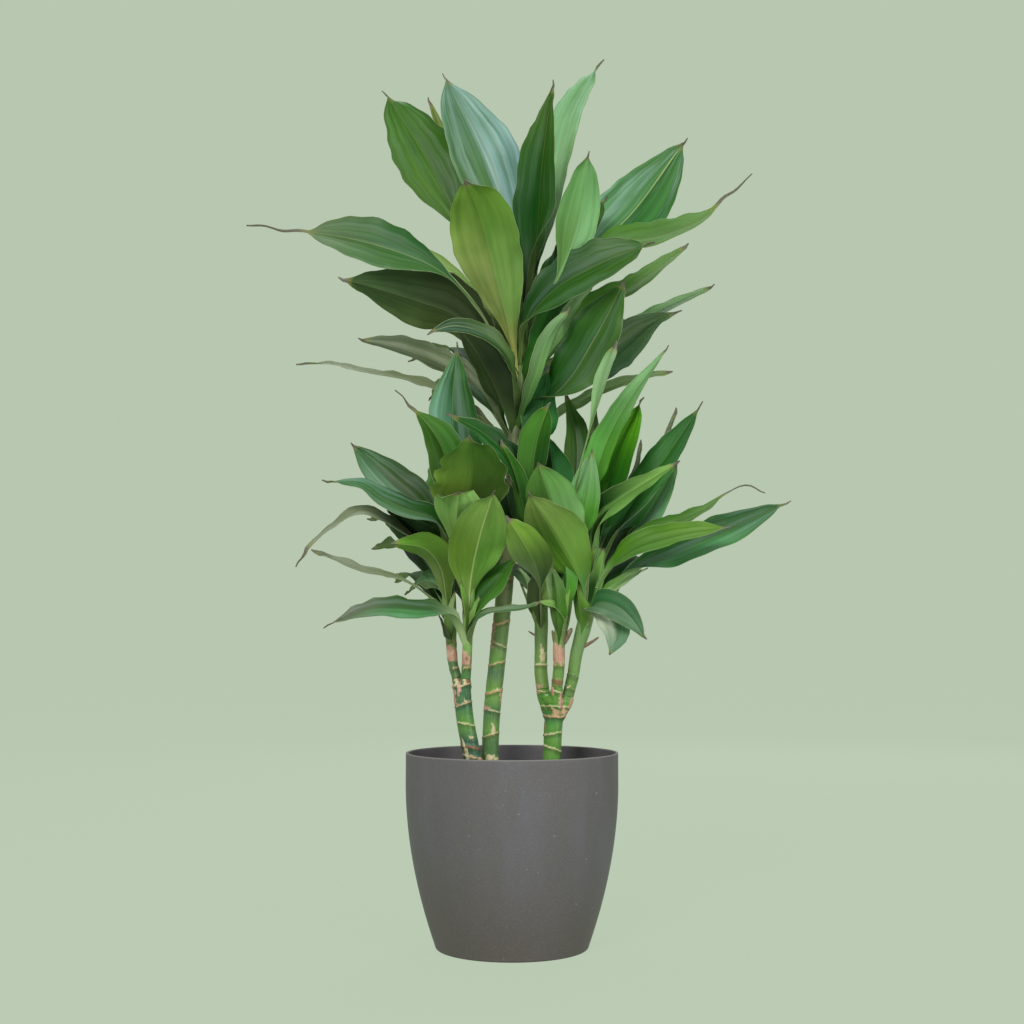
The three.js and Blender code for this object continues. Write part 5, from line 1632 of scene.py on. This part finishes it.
def leaf_finish():
    recipe = Recipe("leaf_wax", Specular_IOR_Level=0.2, Coat_Roughness=0.26)
    across, along, seed = [recipe.attribute(key) for key in ("across", "along", "seed")]
    upper, stripes, wax_and_painted_sheen = [recipe.attribute(key) for key in ("upper", "stripes", "wax_and_painted_sheen")]
    rim, midrib, ribline = [recipe.attribute(key) for key in ("rim", "midrib", "ribline")]
    pleat, dry = [recipe.attribute(key) for key in ("pleat", "dry")]
    bands, lines, veins, blotch, sheen = [
        recipe.noise(recipe.vector(across * wide, along * long, seed * SEED_SPREAD + layer), 1.0, detail)
        for wide, long, layer, detail in LEAF_NOISES.values()
    ]
    base = recipe.painted("tone")
    shade = recipe.mix(1.0, base, SHADE, "MULTIPLY")
    light = recipe.mix(1.0, base, LIGHT, "MULTIPLY")
    rib_core = (midrib - ribline * 0.5).step(0.6, 0.0) * ribline * veins.step(0.2, 0.6)
    # Each line lays one colour over what is there: how much of it, and which.
    layers = [
        (blotch.step(0.48, 0.75) * 0.55, shade),
        (blotch.step(0.46, 0.24) * 0.35, light),
        (bands.step(0.54, 0.32) * (0.3 + stripes * 0.4), shade),
        # The light bands and pale lines are partly the leaf's own streaks and partly painted highlight along
        # the pleats.
        (bands.step(0.52, 0.74) * stripes * 0.55, light),
        (lines.step(0.6, 0.74) * stripes * 0.5, light),
        # Painted highlight: the crests of the pleats are lightened.
        (pleat.step(0.2, 1.2) * stripes * 0.3, light),
        (veins.step(0.5, 0.72) * 0.16, shade),
        # Painted reflection: a bluish sheen in streaks on the upper face of waxy leaves.
        (upper * wax_and_painted_sheen * sheen.step(0.44, 0.7) * 0.6, PAINTED_SHEEN_BLUE),
        (midrib.step(2.2, 0.9) * 0.22, shade),
        (rib_core * 0.55, RIB_PALE),
        (rim.step(1.6, 0.7) * 0.35, shade),
        (rim.step(0.65, 0.2) * blotch.step(0.3, 0.6) * 0.45, RIM_PALE),
        (dry.step(0.02, 0.3) * 0.5, WITHER_YELLOW),
        ((dry + (veins - 0.5) * 0.5).step(0.3, 0.8), recipe.mix(veins.step(0.4, 0.6), DRY_BROWN, DRY_GREY)),
    ]
    colour = base
    for amount, laid in layers:
        colour = recipe.mix(amount, colour, laid)
    recipe.set("Base Color", colour)
    recipe.set("Roughness", 0.42 + (1 - upper) * 0.12 + veins * 0.1 + dry * 0.3)
    recipe.set("Coat Weight", upper * (1 - dry) * (0.03 + wax_and_painted_sheen * 0.2))
    recipe.set("Normal", recipe.bump(veins + bands * 0.8, 0.00022))
    return recipe.material


LEAF = leaf_finish()
print("leaf finish of", len(LEAF.node_tree.nodes), "nodes")

# %% [markdown]
# ## Shoot stems
# Under its leaves a shoot is a smooth green stem, wrapped by the feet of its leaves, with dry papery scraps
# where the lowest of them have gone. It gets the same marking as the canes, and a few dry stubs of leaves
# that broke off.

# %% Marks of the shoots
SHOOT_MARKS = {
    "crown_tall": (
        [(460, (104, 120, 72)), (500, (84, 88, 62)), (640, (104, 150, 62))],
        [(472, 476, 0.7, TAN), (486, 483, 0.7, TAN)],
        [],
    ),
    "shoot_left_outer": (
        [(270, (76, 112, 62)), (288, (70, 108, 66)), (304, (110, 148, 78)), (400, (98, 150, 62))],
        [(279, 281, 0.7, TAN)],
        [(PINK, -100, 110, 287, 303), (BROWN, -20, 40, 300, 309)],
    ),
    "shoot_left_inner": (
        [(270, (72, 120, 62)), (283, (74, 116, 64)), (298, (112, 156, 78)), (430, (118, 168, 78))],
        [(280, 281, 0.8, TAN)],
        [(PINK, -110, 70, 282, 297), (BROWN, -95, 18, 288, 292)],
    ),
    "shoot_right_inner": (
        [(259, (112, 140, 72)), (284, (108, 146, 68)), (310, (100, 132, 74)), (430, (88, 124, 66))],
        [(284, 283, 0.7, PALE)],
        [(PALE, -70, 30, 286, 300), (PINK, -140, 50, 259, 264)],
    ),
    "shoot_right_middle": (
        [(262, (104, 146, 68)), (283, (98, 136, 64)), (306, (108, 138, 76)), (425, (94, 136, 66))],
        [(283, 283.5, 0.8, TAN), (268, 267, 0.8, BROWN)],
        [(PINK, -90, 100, 284, 304), (BROWN, -100, 50, 262, 268)],
    ),
    "shoot_right_outer": (
        [(252, (88, 124, 60)), (270, (100, 142, 68)), (300, (112, 150, 92)), (400, (98, 144, 68))],
        [(262, 259, 0.6, PALE), (274, 270, 0.6, DARK)],
        [(BROWN, 175, 40, 262, 300)],
    ),
}
# Stubs: their two ends, and their half thickness at both.
DRY_STUBS = {
    "shoot_right_outer": [((68, 300, 5), (87, 311, 8), (2.2, 0.7))],
    "shoot_right_inner": [((29, 311, -7), (16, 317, -5), (1.6, 0.4))],
    "shoot_right_middle": [
        ((45, 300, 15), (40, 318, 16), (2.6, 0.9)),
        ((50, 304, 16), (60, 320, 17), (3.4, 1.6)),
    ],
}
STUB_BROWN = tint(118, 96, 80)
print(sum(map(len, DRY_STUBS.values())), "dry stubs")

# %% [markdown]
# ## Stems and stubs
# The marked stem is a fine tube that is moved by its own marks. A stub is a small curved peg with a blunt
# end. Both share a mesh with the leaves, so they carry the leaves' numbers too, all of them nought.

# %% Stems and stubs
SHOOT_SKIN = bark_finish("shoot_skin")
SHOOT_RAISE = 0.5
STEM_SIDES = 32
STEM_STEP = 1.6
STUB_SIDES = 12
STUB_STEP = 0.8
STUB_SAG = 0.8
STUB_LEAST = 0.2
LEAF_KEYS = (
    "across", "along", "share", "rim", "midrib", "upper", "pleat", "dry", "seed", "ribline", "stripes", "wax_and_painted_sheen",
)


def shoot_radius(name, t):
    foot, wrapped, tip = SHOOT_RADII[name]
    return blend(blend(foot, wrapped, smoothstep(t, 0.2, 0.5)), tip, smoothstep(t, 0.6, 1.0))


def stub_radius(t, radii):
    """A straight taper, rounded off at both ends."""
    return blend(*radii, t) * (1 - (2 * t - 1) ** 8) ** 0.5 + STUB_LEAST


def stem_values(tone, paper, shape):
    """A stem has no blade, so all that only a leaf knows is nought there."""
    return {"tone": tone.reshape(*shape, 4), "paper": paper.reshape(shape), **{key: 0.0 for key in LEAF_KEYS}}


def add_stem(skin, name, shoot):
    rings, shares = tube_rings(shoot, lambda t: shoot_radius(name, t), step=STEM_STEP, sides=STEM_SIDES)
    flat = rings.reshape(-1, 3)
    away = flat - shoot.at(shares).repeat(STEM_SIDES, 0)
    marks, lift = mark_stem(flat, away, *SHOOT_MARKS[name], SHOOT_RAISE)
    moved = (flat + unit(away) * lift[:, None]).reshape(rings.shape)
    skin.add_rings(moved, stem_values(marks["tone"], marks["paper"], rings.shape[:2]), slot=1)


def add_stub(skin, start, end, radii):
    start, end = place(*start), place(*end)
    line = Curve([start, (start + end) / 2 - (0, 0, STUB_SAG), end])
    rings = tube_rings(line, lambda t: stub_radius(t, radii), step=STUB_STEP, sides=STUB_SIDES)[0]
    tone = np.tile(STUB_BROWN, (*rings.shape[:2], 1))
    skin.add_rings(rings, stem_values(tone, np.ones(rings.shape[:2]), rings.shape[:2]), slot=1)


print("shoot radii half way up:", {name: round(float(shoot_radius(name, 0.5)), 1) for name in SHOOT_PATHS})

# %% [markdown]
# ## Growing the foliage
# All is ready to grow the six leafy shoots. Each is one piece: its stem, its dry stubs if it has any, the
# leaves of its front, its sheaths, and the leaves of its far side.

# %% Six leafy shoots
FRONT_PHASE_STEP = 0.37
BACK_PHASE_STEP = 0.29
BACK_TURN = 36  # how far, in degrees, leaves of the far side differ in their roll
BACK_SHAPE = {"fold": 14, "stalk": 0.05, "widest": 0.57, "dry": 0.04}
FAR_POINT = 1000  # millimetres: a root is set on the side of a point this far out
# Every leaf has a seed of its own: a hundred for each shoot, split between front, far side and sheaths.
SHOOT_SEEDS = 100
BACK_SEED = 50
SHEATH_SEED = 80


def add_leaf(skin, tone, rib, turn, phase, seed, shape, shows_upper=True):
    sheet, face, known = blade_sheet(rib, turn, phase, tone, shape, np.random.default_rng(seed))
    values = leaf_values(tone, rib, shape, shows_upper, known, seed)
    skin.add_rings(leaf_rings(sheet, face, known), {**values, "paper": 0.0}, thin=True)


def add_rows(skin, name, rows, shoot, seed):
    for i, (tone, width, fold, facing, stalk, widest, dry, root, *points) in enumerate(rows):
        points = [place(*point) for point in points]
        rib = Curve([root_point(name, shoot, root, points[0]), *points])
        turn = turn_to_face(rib, facing, widest)
        shape = {"width": width, "fold": fold, "stalk": stalk, "widest": widest, "dry": dry}
        add_leaf(skin, tone, rib, turn, FRONT_PHASE_STEP * (i + 1) % 1, seed + i, shape, facing < 90)


def add_back_leaves(skin, name, shoot, seed):
    for i, (tone, height, bearing, rise, length, width) in enumerate(BACK_LEAVES[name]):
        outward = np.array([math.cos(math.radians(bearing)), math.sin(math.radians(bearing)), 0])
        root = root_point(name, shoot, height, shoot.at(0.5) + outward * FAR_POINT)
        rib = Curve(arched_rib(root, outward, rise, length))
        phase = BACK_PHASE_STEP * (i + 2) % 1
        turn = BACK_TURN * (phase - 0.5)
        add_leaf(skin, tone, rib, turn, phase, seed + i, {"width": width, **BACK_SHAPE})


def grow(name, seed):
    skin = Skin(name + "_foliage")
    shoot = Curve([place(*point) for point in SHOOT_PATHS[name]])
    add_stem(skin, name, shoot)
    for stub in DRY_STUBS.get(name, []):
        add_stub(skin, *stub)
    add_rows(skin, name, FRONT_LEAVES[name], shoot, seed)
    add_rows(skin, name, SHEATHS.get(name, []), shoot, seed + SHEATH_SEED)
    add_back_leaves(skin, name, shoot, seed + BACK_SEED)
    show(skin.name, skin.build([LEAF, SHOOT_SKIN], crease=60), name)


for number, name in enumerate(SHOOT_PATHS):
    grow(name, SHOOT_SEEDS * number)

# %% [markdown]
